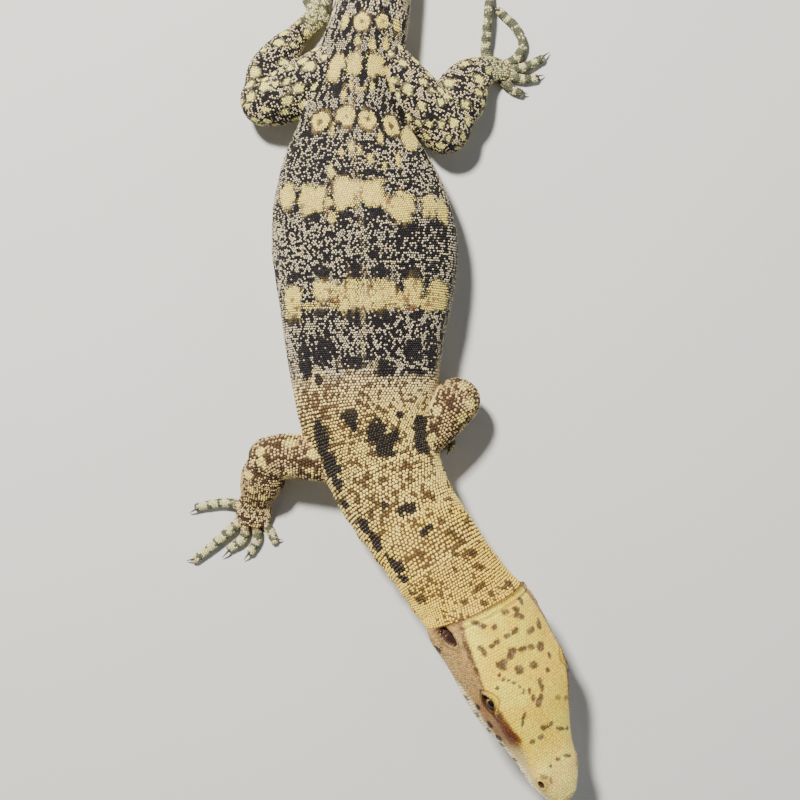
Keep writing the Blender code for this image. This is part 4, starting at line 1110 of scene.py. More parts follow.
    def _tail(self, at: Spots) -> Array:
        """Colour the tail: black with straw bands whose spacing shrinks towards its tip."""
        p = self.palette
        past = at.along - 0.128
        phase = past / (13.0 * MM - 0.019 * past) + 0.16 * (at.patchy - 0.5) + 0.08 * (at.grain - 0.5)
        split = ramp(past, 0.05, 0.02) * ramp(np.cos(TAU * at.chord / (4.3 * MM)), 0.5, 0.8)
        band = ramp(np.cos(TAU * phase), 0.42, 0.62) * (1.0 - split)
        spots = ramp(np.cos(2 * TAU * phase + math.pi), 0.80, 0.92) * ramp(at.grain, 0.55, 0.7)
        dark = blend(0.45 * ramp(at.grain, 0.55, 0.85) * (1.0 - at.bare), p.soot, p.ash)
        pale = blend(ramp(past, 0.02, 0.1) * 0.4, p.straw, p.cream) * (0.5 if at.bare else 1.0)
        return blend(np.maximum(band, 0.7 * spots), dark, pale)

    def _under(self, at: Spots, colour: Array) -> Array:
        """Colour the belly and throat: pale, with narrow dark bars that run down from the flanks."""
        p = self.palette
        under = ramp(at.turn, 1.75, 2.15) * ramp(at.row, 26.0, 22.0)
        waves = np.cos(TAU * at.along / (7.5 * MM) + 0.8 * np.sin(at.chord / (2.5 * MM)))
        bars = ramp(waves, 0.62, 0.85) * ramp(at.turn, 2.95, 2.35) * ramp(at.row, 2.0, 4.0)
        pale = blend(0.4 * at.grain, p.belly, p.cream)
        return blend(under, colour, blend(0.85 * bars, pale, p.soot))

    def face(self, points: Array, grain: Array, bare: bool) -> Array:
        """Colour the head: lemon crown, tan temples, pale lips with dark bars, red-brown stripe.

        Lengths are in millimetres in the head's own frame. The crown and the temple meet at the
        height of CROWN_EDGE, and the line of the mouth divides the lips. Painted highlights run along
        the canthal ridge and the upper lid; painted shade lies round the eyeball, in the lid fold, the
        ear, the nostrils, the groove of the mouth and the folds at the nape.
        """
        p = self.palette
        across, back, height = self.head.to_head(points).T
        ahead, out = -back, np.abs(across)
        flat = self._head_flat(points)
        fine, patchy = cloud(points, 0.6 * MM, 21), cloud(points, 2.6 * MM, 22)
        wobble = 0.55 * (cloud(points, 0.55 * MM, 23) - 0.5) + 0.15 * (grain - 0.5)
        edge = np.interp(ahead, *CROWN_EDGE)
        below = height - edge
        crown = blend(0.1 + ramp(patchy, 0.2, 0.75) * 0.75, p.lemon, p.honey)
        middle = bump(across, 1.0, 4.2) * bump(ahead, 17.0, 6.0)
        pink = bump(ahead, 41.0, 2.2) * ramp(out, 1.2, 2.8) * ramp(fine, 0.2, 0.6)
        side = ramp(below, 0.15, -0.35) * ramp(out, 2.5, 3.8)
        cheek = layered(blend(0.3 * fine + 0.15 * grain, p.temple, p.cream),
                        (0.5 * ramp(grain, 0.72, 0.8), p.umber),
                        (0.6 * ramp(ahead, 26, 36), p.ivory),
                        (0.5 * bump(below, -0.4, 0.5) * ramp(ahead, 19, 14), p.umber))
        # Painted highlight: a honey line along the canthal ridge, just above the temple's edge.
        rim = bump(below, 0.3, 0.3) * ramp(ahead, 14, 18) * ramp(ahead, 34, 30) * (out > 3.0)
        flank = ramp(out, 2.5, 3.5)
        lore = ramp(below, 0.1, -0.5) * ramp(ahead, 15.5, 19.0) * ramp(ahead, 32.0, 26.0) * flank
        stripe = (ramp(below, 0.2, -0.2) * ramp(below, -2.9, -1.9) * ramp(ahead, 18.4, 19.6)
                  * ramp(ahead, 31.5, 28.0) * flank * (0.72 + 0.23 * bump(ahead, 26.5, 2.6)))
        line = self.head.mouth_height(ahead)
        level = np.abs(height - line)
        lips = ramp(level, 2.4, 1.3) * ramp(ahead, 11, 14)
        bars = (ramp(np.cos(TAU * ahead / 4.3 + 1.2), 0.35, 0.75) * ramp(fine, 0.15, 0.5)
                * ramp(level, 1.9, 1.2) * ramp(ahead, 40, 34))
        bands = ramp(np.cos(TAU * ahead / 5.2 + 3.0 * np.abs(flat[:, 0]) / (6 * MM)), 0.5, 0.8)
        colour = layered(crown * (0.88 + 0.18 * fine)[:, None],
                         (0.4 * middle, p.honey),
                         (0.6 * ramp(ahead, 31, 42), p.ivory),
                         (0.45 * pink, p.pink),
                         (side, cheek),
                         # Painted highlight along the canthal ridge.
                         (0.6 * rim, p.honey),
                         (0.7 * lore, p.lore),
                         (stripe, blend(ramp(ahead, 20, 25), p.umber, p.rust)),
                         (0.8 * lips, p.lip),
                         (0.8 * lips * bars, p.mauve),
                         (ramp(height - line, -1.5, -3.0),
                          blend(0.55 * bands * ramp(ahead, 42, 34), p.belly, p.slate)))
        mauve = blend(0.55 * ramp(fine, 0.4, 0.8), p.mauve, p.lilac)
        for kind, share, soft, tint in ((Mark.BAR, 0.9, 0.18, mauve), (Mark.BROWN, 0.65, 0.35, p.umber),
                                        (Mark.RED, 0.85, 0.3, p.rust), (Mark.DARK, 0.9, 0.3, p.soot)):
            colour = blend(share * self.head_marks.inside(flat, wobble, kind, soft), colour, tint)
        eye, ear, nose = self.head.gaps(ahead, height)
        beside, nasal = out > 4.0, out > 2.0
        # Masks of painted shade: the groove of the mouth and the folds at the nape.
        groove = bump(height - line, 0.0, 0.16) * ramp(ahead, 12, 14)
        crease = bump(ahead, 0.0, 0.36) + 0.35 * bump(ahead, 1.6, 0.25) * (fine > 0.35)
        colour = layered(colour,
                         # Painted shade at the lid margin, where the lid meets the eyeball, and in the fold
                         # round the lids.
                         (0.9 * beside * bump(eye, 1.0, 0.24), p.lid),
                         (0.7 * beside * bump(eye, 1.42, 0.09), p.lid_fold_shade),
                         # Painted highlight along the ridge of the upper lid.
                         (0.6 * beside * bump(eye, 1.3, 0.07) * ramp(height, 4.4, 5.2), p.honey),
                         # Painted shade: black in the opening behind the eyeball.
                         (beside * ramp(eye, 0.95, 0.8), p.soot),
                         # The ear's own dark red-brown, deepened as painted shade in its hollow.
                         (beside * ramp(ear, 1.12, 1.0), p.hollow_shade_red),
                         (0.5 * beside * bump(ear, 1.25, 0.12), p.umber),
                         # Painted shade inside the nostril's hollow.
                         (0.95 * nasal * ramp(nose, 1.1, 0.95), p.hollow_shade_red),
                         (0.5 * nasal * bump(nose, 1.7, 0.35), p.clay),
                         # Painted shade along the groove of the mouth.
                         (0.8 * groove, p.umber),
                         # Painted shade in the folds at the nape.
                         (0.8 * np.clip(crease, 0, 1) * ramp(height, -2.0, 1.0), p.fold))
        return colour * (0.85 if bare else 1.0)

    def limb(self, name: str, points: Array, grain: Array, bare: bool) -> Array:
        """Colour a leg part: dark with pale spots behind, golden brown with cream in front."""
        p, part, front = self.palette, self.limbs[name], "arm" in name
        length, turn, _ = part.locate(points)
        flat = np.stack((turn * part.sizes.mean(), length), -1)
        gap, own = pebbles(flat, (4.9 if front else 3.5) * MM, 31 + len(name))
        gap = gap + 0.55 * MM * (grain - 0.5)
        fine, patchy = cloud(points, 0.9 * MM, 33), cloud(points, 1.9 * MM, 34)
        reach = ((0.75 if front else 0.6) + 0.5 * own) * MM
        spot, halo = ramp(gap, reach * 1.06, reach), ramp(gap, reach + 0.75 * MM, reach + 0.6 * MM)
        if front:
            tan = ramp(grain + 0.8 * (0.5 - patchy) - 0.22 * halo, 0.30, 0.40)
            base = p.umber if bare else blend(tan, p.peat, blend(0.6 * grain, p.bronze, p.cream))
            pale = blend(0.4 * grain, p.straw, p.cream) * (0.35 if bare else 1.0)
            colour = blend(spot * 0.95, base, pale)
        else:
            light = ramp(grain + 0.5 * (fine - 0.5), 0.44, 0.5) * (1.0 - bare)
            pale = blend(0.4 * grain, p.lime, p.straw) * (0.45 if bare else 1.0)
            colour = layered(p.soot, (light, blend(fine, p.ash, p.cream)), (0.8 * halo, p.soot),
                             # Painted shade: the hind legs turn bronze-brown where they come within 5 mm of
                             # the floor.
                             (0.6 * ramp(points[:, 2] / MM, 5.0, 2.5), p.bronze), (spot, pale))
        if name.startswith(("forearm", "shank")):
            end = ramp(length, part.along[-1] - 7.0 * MM, part.along[-1] - 3.0 * MM)
            ground, light = (p.umber, p.cream) if front else (p.slate, p.mint)
            colour = blend(0.75 * end, colour, blend(ramp(grain, 0.35, 0.5) * (1.0 - bare), ground, light))
        return blend(0.8 * ramp(np.cos(turn), -0.6, -0.9), colour, p.belly)

    def toe(self, name: str, points: Array, grain: Array, bare: bool) -> Array:
        """Colour a toe: mint and cream with grey-green bands, and the leg's colours at its root."""
        p, front = self.palette, "hand" in name
        length, _, _ = self.toes[name].locate(points)
        ragged = 2.2 * (cloud(points, 0.9 * MM, 36) - 0.5) + 1.3 * (grain - 0.5)
        least = 0.3 if front else -0.45
        band = ramp(np.sin(TAU * length / (2.6 * MM) + 0.9) + ragged, least, least + 0.2)
        pale = blend(0.6 * grain, p.mint, p.cream) * (0.6 if bare else 1.0)
        root = blend(ramp(grain, 0.35, 0.5) * (1.0 - bare), p.umber if front else p.slate, p.cream)
        near = ramp(length + 2.0 * MM * (grain - 0.5), 3.2 * MM, 1.0 * MM)
        return layered(pale, (0.92 * band, p.slate), (0.8 * near, root))

    def colour(self, points: Array, grain: Array, bare: bool = False) -> Array:
        """Colour any places on the skin, each by the part that it lies nearest to."""
        best = self.spine.locate(points)[3]
        result = self.trunk(points, grain, bare)
        for group, painter in ((self.limbs, self.limb), (self.toes, self.toe)):
            for name, part in group.items():
                _, _, own = part.locate(points)
                chosen = own < best - 0.02
                best = np.where(chosen, own, best)
                if chosen.any():
                    result[chosen] = painter(name, points[chosen], grain[chosen], bare)
        on_head = self.head.to_head(points)[:, 1] < 0.1
        if on_head.any():
            result[on_head] = self.face(points[on_head], grain[on_head], bare)
        return result


class Socket:
    """A shader socket with the arithmetic of numbers, which adds Math nodes as it is used."""

    def __init__(self, shader: "Shader", socket: bpy.types.NodeSocket) -> None:
        """Keep the shader and the socket."""
        self.shader, self.socket = shader, socket

    def _math(self, operation: str, *values: object) -> "Socket":
        """Add one Math node."""
        return self.shader.node("ShaderNodeMath", {"operation": operation}, dict(enumerate(values)))

    def __add__(self, other: object) -> "Socket":
        """Add."""
        return self._math("ADD", self, other)

    __radd__ = __add__

    def __sub__(self, other: object) -> "Socket":
        """Subtract."""
        return self._math("SUBTRACT", self, other)

    def __rsub__(self, other: object) -> "Socket":
        """Subtract from a number."""
        return self._math("SUBTRACT", other, self)

    def __mul__(self, other: object) -> "Socket":
        """Multiply."""
        return self._math("MULTIPLY", self, other)

    __rmul__ = __mul__

    def between(self, low: float, high: float) -> "Socket":
        """Stretch the stretch from low to high over 0 to 1 and clamp it."""
        return self.shader.node("ShaderNodeMapRange", {"interpolation_type": "SMOOTHSTEP"},
                                {"Value": self, "From Min": low, "From Max": high})


class Shader:
    """A material under construction."""

    def __init__(self, name: str) -> None:
        """Start a material with an empty tree."""
        self.material = bpy.data.materials.new(name)
        self.material.use_nodes = True
        self.tree = self.material.node_tree
        self.tree.nodes.clear()

    def node(self, kind: str, settings: dict, inputs: dict, output: object = 0) -> Socket:
        """Add a node.

        Args:
            kind: Type of the node.
            settings: Properties, which are set first.
            inputs: Values or sockets by input name or number.
            output: Name or number of the output that is returned.

        Returns:
            The output socket.
        """
        made = self.tree.nodes.new(kind)
        for key, value in settings.items():
            setattr(made, key, value)
        for key, value in inputs.items():
            if isinstance(value, Socket):
                self.tree.links.new(value.socket, made.inputs[key])
            else:
                made.inputs[key].default_value = value
        return Socket(self, made.outputs[output])

    def place(self) -> Socket:
        """Return the place on the object."""
        return self.node("ShaderNodeTexCoord", {}, {}, "Object")

    def noise(self, place: Socket, scale: float, detail: float = 2.0) -> Socket:
        """Return soft noise from 0 to 1."""
        return self.node("ShaderNodeTexNoise", {}, {"Vector": place, "Scale": scale, "Detail": detail})

    def cells(self, place: Socket, scale: float) -> Socket:
        """Return the distance to the nearest of scattered points, small in the middle of a cell."""
        return self.node("ShaderNodeTexVoronoi", {}, {"Vector": place, "Scale": scale}, "Distance")

    def marks(self) -> Socket:
        """Return the painted colour."""
        return self.node("ShaderNodeAttribute", {"attribute_name": "Marks"}, {}, "Color")

    def tint(self, colour: object, share: object, other: object) -> Socket:
        """Multiply one colour by another, by a share."""
        return self.node("ShaderNodeMix", {"data_type": "RGBA", "blend_type": "MULTIPLY"},
                         {0: share, 6: colour, 7: other}, 2)

    def relief(self, height: Socket, strength: float, distance: float) -> Socket:
        """Return the normal of a bumped surface."""
        return self.node("ShaderNodeBump", {}, {"Height": height, "Strength": strength, "Distance": distance})

    def close(self, inputs: dict) -> Material:
        """Add the Principled shader and the output, and return the material."""
        surface = self.node("ShaderNodeBsdfPrincipled", {}, inputs)
        output = self.tree.nodes.new("ShaderNodeOutputMaterial")
        self.tree.links.new(surface.socket, output.inputs["Surface"])
        return self.material


@dataclass(frozen=True)
class SkinFinish:
    """Soft skin between the scales, and the fine skin of the head.

    Attributes:
        name: Name of the material.
        grain: Cells a metre of the fine relief.
        depth: Depth of the relief in metres.
        roughness: Middle roughness.
    """

    name: str = "monitor_skin"
    grain: float = 2600.0
    depth: float = 0.00007
    roughness: float = 0.5

    def make(self) -> Material:
        """Make the material: marks with painted shade in the creases of fine cells, which also bump it."""
        shader = Shader(self.name)
        place = shader.place()
        cells = shader.cells(place, self.grain)
        crease = cells.between(0.25, 0.75)
        mottle = shader.noise(place, 900.0, 3.0)
        # Painted shade: the marks are darkened in the creases between the fine cells.
        colour = shader.tint(shader.marks(), crease * 0.35, (0.25, 0.2, 0.17, 1.0))
        colour = shader.tint(colour, mottle.between(0.45, 0.8) * 0.25, (1.15, 1.08, 0.95, 1.0))
        height = 1.0 - crease + mottle * 0.3
        light = shader.node("ShaderNodeSeparateColor", {}, {"Color": shader.marks()})
        return shader.close({
            "Base Color": colour,
            "Roughness": self.roughness + 0.2 - light.between(0.0, 0.3) * 0.32 + mottle * 0.24,
            "Normal": shader.relief(height, 0.6, self.depth),
            "Specular IOR Level": 0.25,
        })


@dataclass(frozen=True)
class ScaleFinish:
    """Horny scales with a low sheen."""

    name: str
    roughness: float = 0.38
    coat: float = 0.0

    def make(self) -> Material:
        """Make the material: marks with a fine horny grain, glossier where the grain is low."""
        shader = Shader(self.name)
        place = shader.place()
        grain = shader.noise(place, 3800.0, 2.0)
        broad = shader.noise(place, 700.0, 2.0)
        colour = shader.tint(shader.marks(), grain.between(0.3, 0.75) * 0.3, (1.25, 1.2, 1.08, 1.0))
        colour = shader.tint(colour, broad.between(0.5, 0.8) * 0.2, (0.72, 0.68, 0.62, 1.0))
        return shader.close({
            "Base Color": colour,
            "Roughness": self.roughness - 0.1 + grain * 0.2,
            "Normal": shader.relief(grain, 0.35, 0.00003),
            "Coat Weight": self.coat,
            "Coat Roughness": 0.3,
            "Specular IOR Level": 0.28,
        })


@dataclass(frozen=True)
class EyeFinish:
    """The wet ball of an eye."""

    name: str = "monitor_eye"

    def make(self) -> Material:
        """Make the material: painted iris with fine fibres under a clear wet coat."""
        shader = Shader(self.name)
        fibres = shader.noise(shader.place(), 4200.0, 3.0)
        colour = shader.tint(shader.marks(), fibres.between(0.4, 0.7) * 0.45, (1.5, 1.3, 1.0, 1.0))
        return shader.close({"Base Color": colour, "Roughness": 0.12 + fibres * 0.06,
                             "Coat Weight": 0.12, "Coat Roughness": 0.02, "Specular IOR Level": 0.1})


@dataclass(frozen=True)
class ClawFinish:
    """Horn of the claws, dark at the root and clearer at the point."""

    name: str = "monitor_claw"

    def make(self) -> Material:
        """Make the material: painted horn with faint growth lines."""
        shader = Shader(self.name)
        lines = shader.noise(shader.place(), 2600.0, 4.0)
        colour = shader.tint(shader.marks(), lines.between(0.35, 0.7) * 0.4, (1.5, 1.35, 1.15, 1.0))
        return shader.close({"Base Color": colour, "Roughness": 0.22 + lines * 0.14,
                             "Normal": shader.relief(lines, 0.2, 0.00003), "Coat Weight": 0.3,
                             "Coat Roughness": 0.15})


@dataclass(frozen=True)
class FloorFinish:
    """Plain pale studio floor."""

    name: str = "studio_floor"
    colour: tuple = (0.60, 0.60, 0.59, 1.0)

    def make(self) -> Material:
        """Make the material: pale matt grey with a breath of unevenness."""
        shader = Shader(self.name)
        cloudy = shader.noise(shader.place(), 6.0, 2.0)
        colour = shader.tint(self.colour, cloudy * 0.06, (0.8, 0.8, 0.8, 1.0))
        return shader.close({"Base Color": colour, "Roughness": 0.75 + cloudy * 0.1})


@dataclass
class Skin:
    """The one closed skin of the whole animal."""

    spine: Spine
    head: Head
    limbs: dict
    toes: dict
    voxel: float = 0.44 * MM
    body_triangles: int = 86000
    last_body_row: float = 25.4

    def build(self) -> Thing:
        """Join trunk and legs, round off the joins, then add head, toes and the tail's end."""
        grid = self.spine.grid(0.0, self.last_body_row, 420, 150, -self.spine.coat)
        front = grid[0].mean(0)
        lip = np.array([front + (grid[0] - front) * share - self.spine.head_back * reach * MM
                        for share, reach in ((0.55, 0.5), (0.9, 0.62), (0.97, 0.4))])
        body = shell("skin", np.concatenate((lip, grid)))
        legs = [part.tube(name, 70, 48, -part.coat) for name, part in self.limbs.items()]
        bpy.context.view_layer.update()
        with bpy.context.temp_override(active_object=body, object=body, selected_objects=[body, *legs],
                                       selected_editable_objects=[body, *legs]):
            bpy.ops.object.join()
        remesh = body.modifiers.new("remesh", "REMESH")
        remesh.mode, remesh.voxel_size = "VOXEL", self.voxel
        settle(body)
        self._soften(body)
        thin = body.modifiers.new("thin", "DECIMATE")
        thin.ratio = min(1.0, self.body_triangles / (2.0 * len(body.data.polygons)))
        settle(body)
        end = self.spine.grid(self.last_body_row - 0.5, len(self.spine.rows) - 1.0, 60, 20, -0.05 * MM)
        pieces = [self.head.build(), shell("tail_end", end)]
        pieces += [toe.tube(name, 30, 16, -0.1 * MM) for name, toe in self.toes.items()]
        for piece in pieces:
            union = body.modifiers.new("union", "BOOLEAN")
            union.operation, union.solver, union.object = "UNION", "MANIFOLD", piece
        settle(body)
        for piece in pieces:
            bpy.data.objects.remove(piece)
        self._level(body)
        body.data.shade_smooth()
        return body

    def _soften(self, body: Thing) -> None:
        """Round the joins of the legs: a Smooth modifier whose weight falls off around each join."""
        places = points_of(body)
        weight = np.zeros(len(places))
        for name, part in self.limbs.items():
            _, _, _, depth = self.spine.locate(part.middle)
            if name.startswith(("upper_arm", "thigh")):
                leaving = part.middle[np.argmax(depth > 0.95)]
                gap = np.linalg.norm(places - leaving, axis=1)
                weight = np.maximum(weight, ramp(gap, 10.5 * MM, 6.5 * MM))
            else:
                gap = np.linalg.norm(places - part.middle[0], axis=1)
                weight = np.maximum(weight, 0.75 * ramp(gap, 7.5 * MM, 4.5 * MM))
        group = body.vertex_groups.new(name="joins")
        levels = np.round(weight * 8).astype(int)
        for level in range(1, 9):
            chosen = np.nonzero(levels == level)[0]
            if len(chosen):
                group.add(chosen.tolist(), level / 8.0, "REPLACE")
        smooth = body.modifiers.new("soften", "SMOOTH")
        smooth.factor, smooth.iterations, smooth.vertex_group = 0.6, 26, "joins"
        even = body.modifiers.new("even", "SMOOTH")
        even.factor, even.iterations = 0.35, 2
        settle(body)
        body.vertex_groups.clear()

    def _level(self, body: Thing) -> None:
        """Lay everything that would dip under the floor flat on it."""
        places = points_of(body)
        places[:, 2] = np.maximum(places[:, 2], 0.0)
        body.data.vertices.foreach_set("co", places.astype(np.float32).ravel())
        body.data.update()


@dataclass(frozen=True)
class ScaleKind:
    """Shape of the scales of one region.

    Attributes:
        long: Spacing of the rows along the body, in metres.
        wide: Spacing within a row.
        high: Height over the skin.
        cover: Share of the spacing that a scale covers.
        sides: Sides of its outline.
        keel: How far its top is drawn into a ridge along the body, from 0 to 1.
        shoulder: Size of the ring halfway up as a share of the foot's.
        sink: Depth of the foot under the skin.
        shade_and_highlight: Brightness of the foot, the shoulder and the top: painted shade at the foot,
            where the scale meets the skin, and a painted highlight on the top.
        by_point: Whether each point takes its own colour of the markings, not the root's.
    """

    long: float
    wide: float
    high: float
    cover: float = 0.5
    sides: int = 6
    keel: float = 0.0
    shoulder: float = 0.76
    sink: float = 0.08 * MM
    shade_and_highlight: tuple = (0.12, 0.96, 1.16)
    by_point: bool = False

    def template(self) -> tuple[Array, Array]:
        """Return the points, in shares of length, width and height, and triangles of one scale.

        The foot ring lies under the skin, the shoulder ring is smaller and high up, and a ridge or
        a point closes the top.
        """
        turn = np.linspace(0.0, TAU, self.sides, endpoint=False)
        ring = np.stack((np.cos(turn), np.sin(turn)), -1)
        foot = np.column_stack((ring, np.full(self.sides, -self.sink / self.high)))
        brow = np.column_stack((ring * (self.shoulder, self.shoulder * (1.0 - 0.4 * self.keel)),
                                np.full(self.sides, 0.68)))
        points = np.vstack((foot, brow, (0.0, 0.0, 1.0 + 0.15 * self.keel)))
        k = np.arange(self.sides)
        after = (k + 1) % self.sides
        top = np.full(self.sides, 2 * self.sides)
        triangles = (np.stack((k, after, self.sides + after), -1),
                     np.stack((k, self.sides + after, self.sides + k), -1),
                     np.stack((self.sides + k, self.sides + after, top), -1))
        return points, np.concatenate(triangles)


SCALE_KINDS = {
    "nape": ScaleKind(0.54 * MM, 0.62 * MM, 0.18 * MM, 0.48),
    "neck": ScaleKind(0.70 * MM, 0.80 * MM, 0.25 * MM, 0.46),
    "shoulder": ScaleKind(0.60 * MM, 0.68 * MM, 0.21 * MM, 0.46),
    "back": ScaleKind(0.45 * MM, 0.52 * MM, 0.14 * MM, 0.43),
    "hip": ScaleKind(0.40 * MM, 0.46 * MM, 0.11 * MM, 0.44),
    "belly": ScaleKind(1.15 * MM, 0.95 * MM, 0.16 * MM),
    "tail": ScaleKind(0.62 * MM, 0.45 * MM, 0.13 * MM, keel=0.4),
    "whip": ScaleKind(0.88 * MM, 0.60 * MM, 0.2 * MM, keel=0.6),
    "upper_arm": ScaleKind(0.62 * MM, 0.70 * MM, 0.22 * MM, 0.47),
    "forearm": ScaleKind(0.50 * MM, 0.56 * MM, 0.17 * MM, 0.47),
    "thigh": ScaleKind(0.42 * MM, 0.48 * MM, 0.12 * MM),
    "shank": ScaleKind(0.42 * MM, 0.48 * MM, 0.12 * MM),
    "toe": ScaleKind(0.50 * MM, 0.52 * MM, 0.1 * MM),
    # Head plates: faint painted shade at the foot and a faint painted highlight on the top.
    "plate": ScaleKind(MM, MM, 0.045 * MM, shade_and_highlight=(0.78, 0.99, 1.04), by_point=True, sink=0.06 * MM),
}


@dataclass
class Roots:
    """Places of scales: where they stand, which way they run and point, and their chart.

    Attributes:
        places: Roots on the plain surface.
        run: Direction along the body.
        chart: Unrolled place of each root, two lengths.
        sizes: Half length, half width and height of each scale.
    """

    places: Array
    run: Array
    chart: Array
    sizes: Array

    def keep(self, chosen: Array) -> "Roots":
        """Return only the chosen roots."""
        return Roots(self.places[chosen], self.run[chosen], self.chart[chosen], self.sizes[chosen])


def scatter(surface: callable, lengths: Array, kind: ScaleKind, span: tuple, seed: int) -> Roots:
    """Set scales in staggered rows on a surface of length and angle.

    Each row's outline is measured finely and cut into equal steps from its middle, and every other
    row is shifted by half a step.

    Args:
        surface: Function from lengths and angles to points.
        lengths: Length along the body of each row.
        kind: Shape of the scales.
        span: First and last angle of the rows, in radians.
        seed: Number that picks the small unevenness.

    Returns:
        The roots.
    """
    angles = np.linspace(span[0], span[1], 241)
    row, turn = np.meshgrid(lengths, angles, indexing="ij")
    outline = surface(row.ravel(), turn.ravel()).reshape(len(lengths), len(angles), 3)
    steps = np.linalg.norm(np.diff(outline, axis=1), axis=2)
    around = np.concatenate((np.zeros((len(lengths), 1)), np.cumsum(steps, axis=1)), axis=1)
    found_rows, found_turns, found_around, found_rate = [], [], [], []
    for number, length in enumerate(lengths):
        total = around[number, -1]
        count = int(total / kind.wide / 2) + 1
        spots = total / 2 + (np.arange(-count, count + 1) + 0.5 * (number % 2)) * kind.wide
        spots = spots[(spots > 0.0) & (spots < total)]
        found_turns.append(np.interp(spots, around[number], angles))
        found_rows.append(np.full(len(spots), length))
        found_around.append(spots)
        found_rate.append(np.full(len(spots), (span[1] - span[0]) / total))
    row, turn = np.concatenate(found_rows), np.concatenate(found_turns)
    rate, spot = np.concatenate(found_rate), np.concatenate(found_around)
    rng = np.random.default_rng(seed)
    row = row + rng.normal(0.0, 0.08, len(row)) * kind.long
    turn = turn + rng.normal(0.0, 0.07, len(row)) * kind.wide * rate
    small = 0.05 * MM
    places = surface(row, turn)
    run = unit(surface(row + small, turn) - surface(row - small, turn))
    size = rng.normal(1.0, 0.06, len(row))
    sizes = np.stack((1.2 * kind.long * kind.cover * size, 1.04 * kind.wide * kind.cover * size,
                      kind.high * rng.normal(1.0, 0.12, len(row))), -1)
    return Roots(places, run, np.stack((spot, row), -1), sizes)


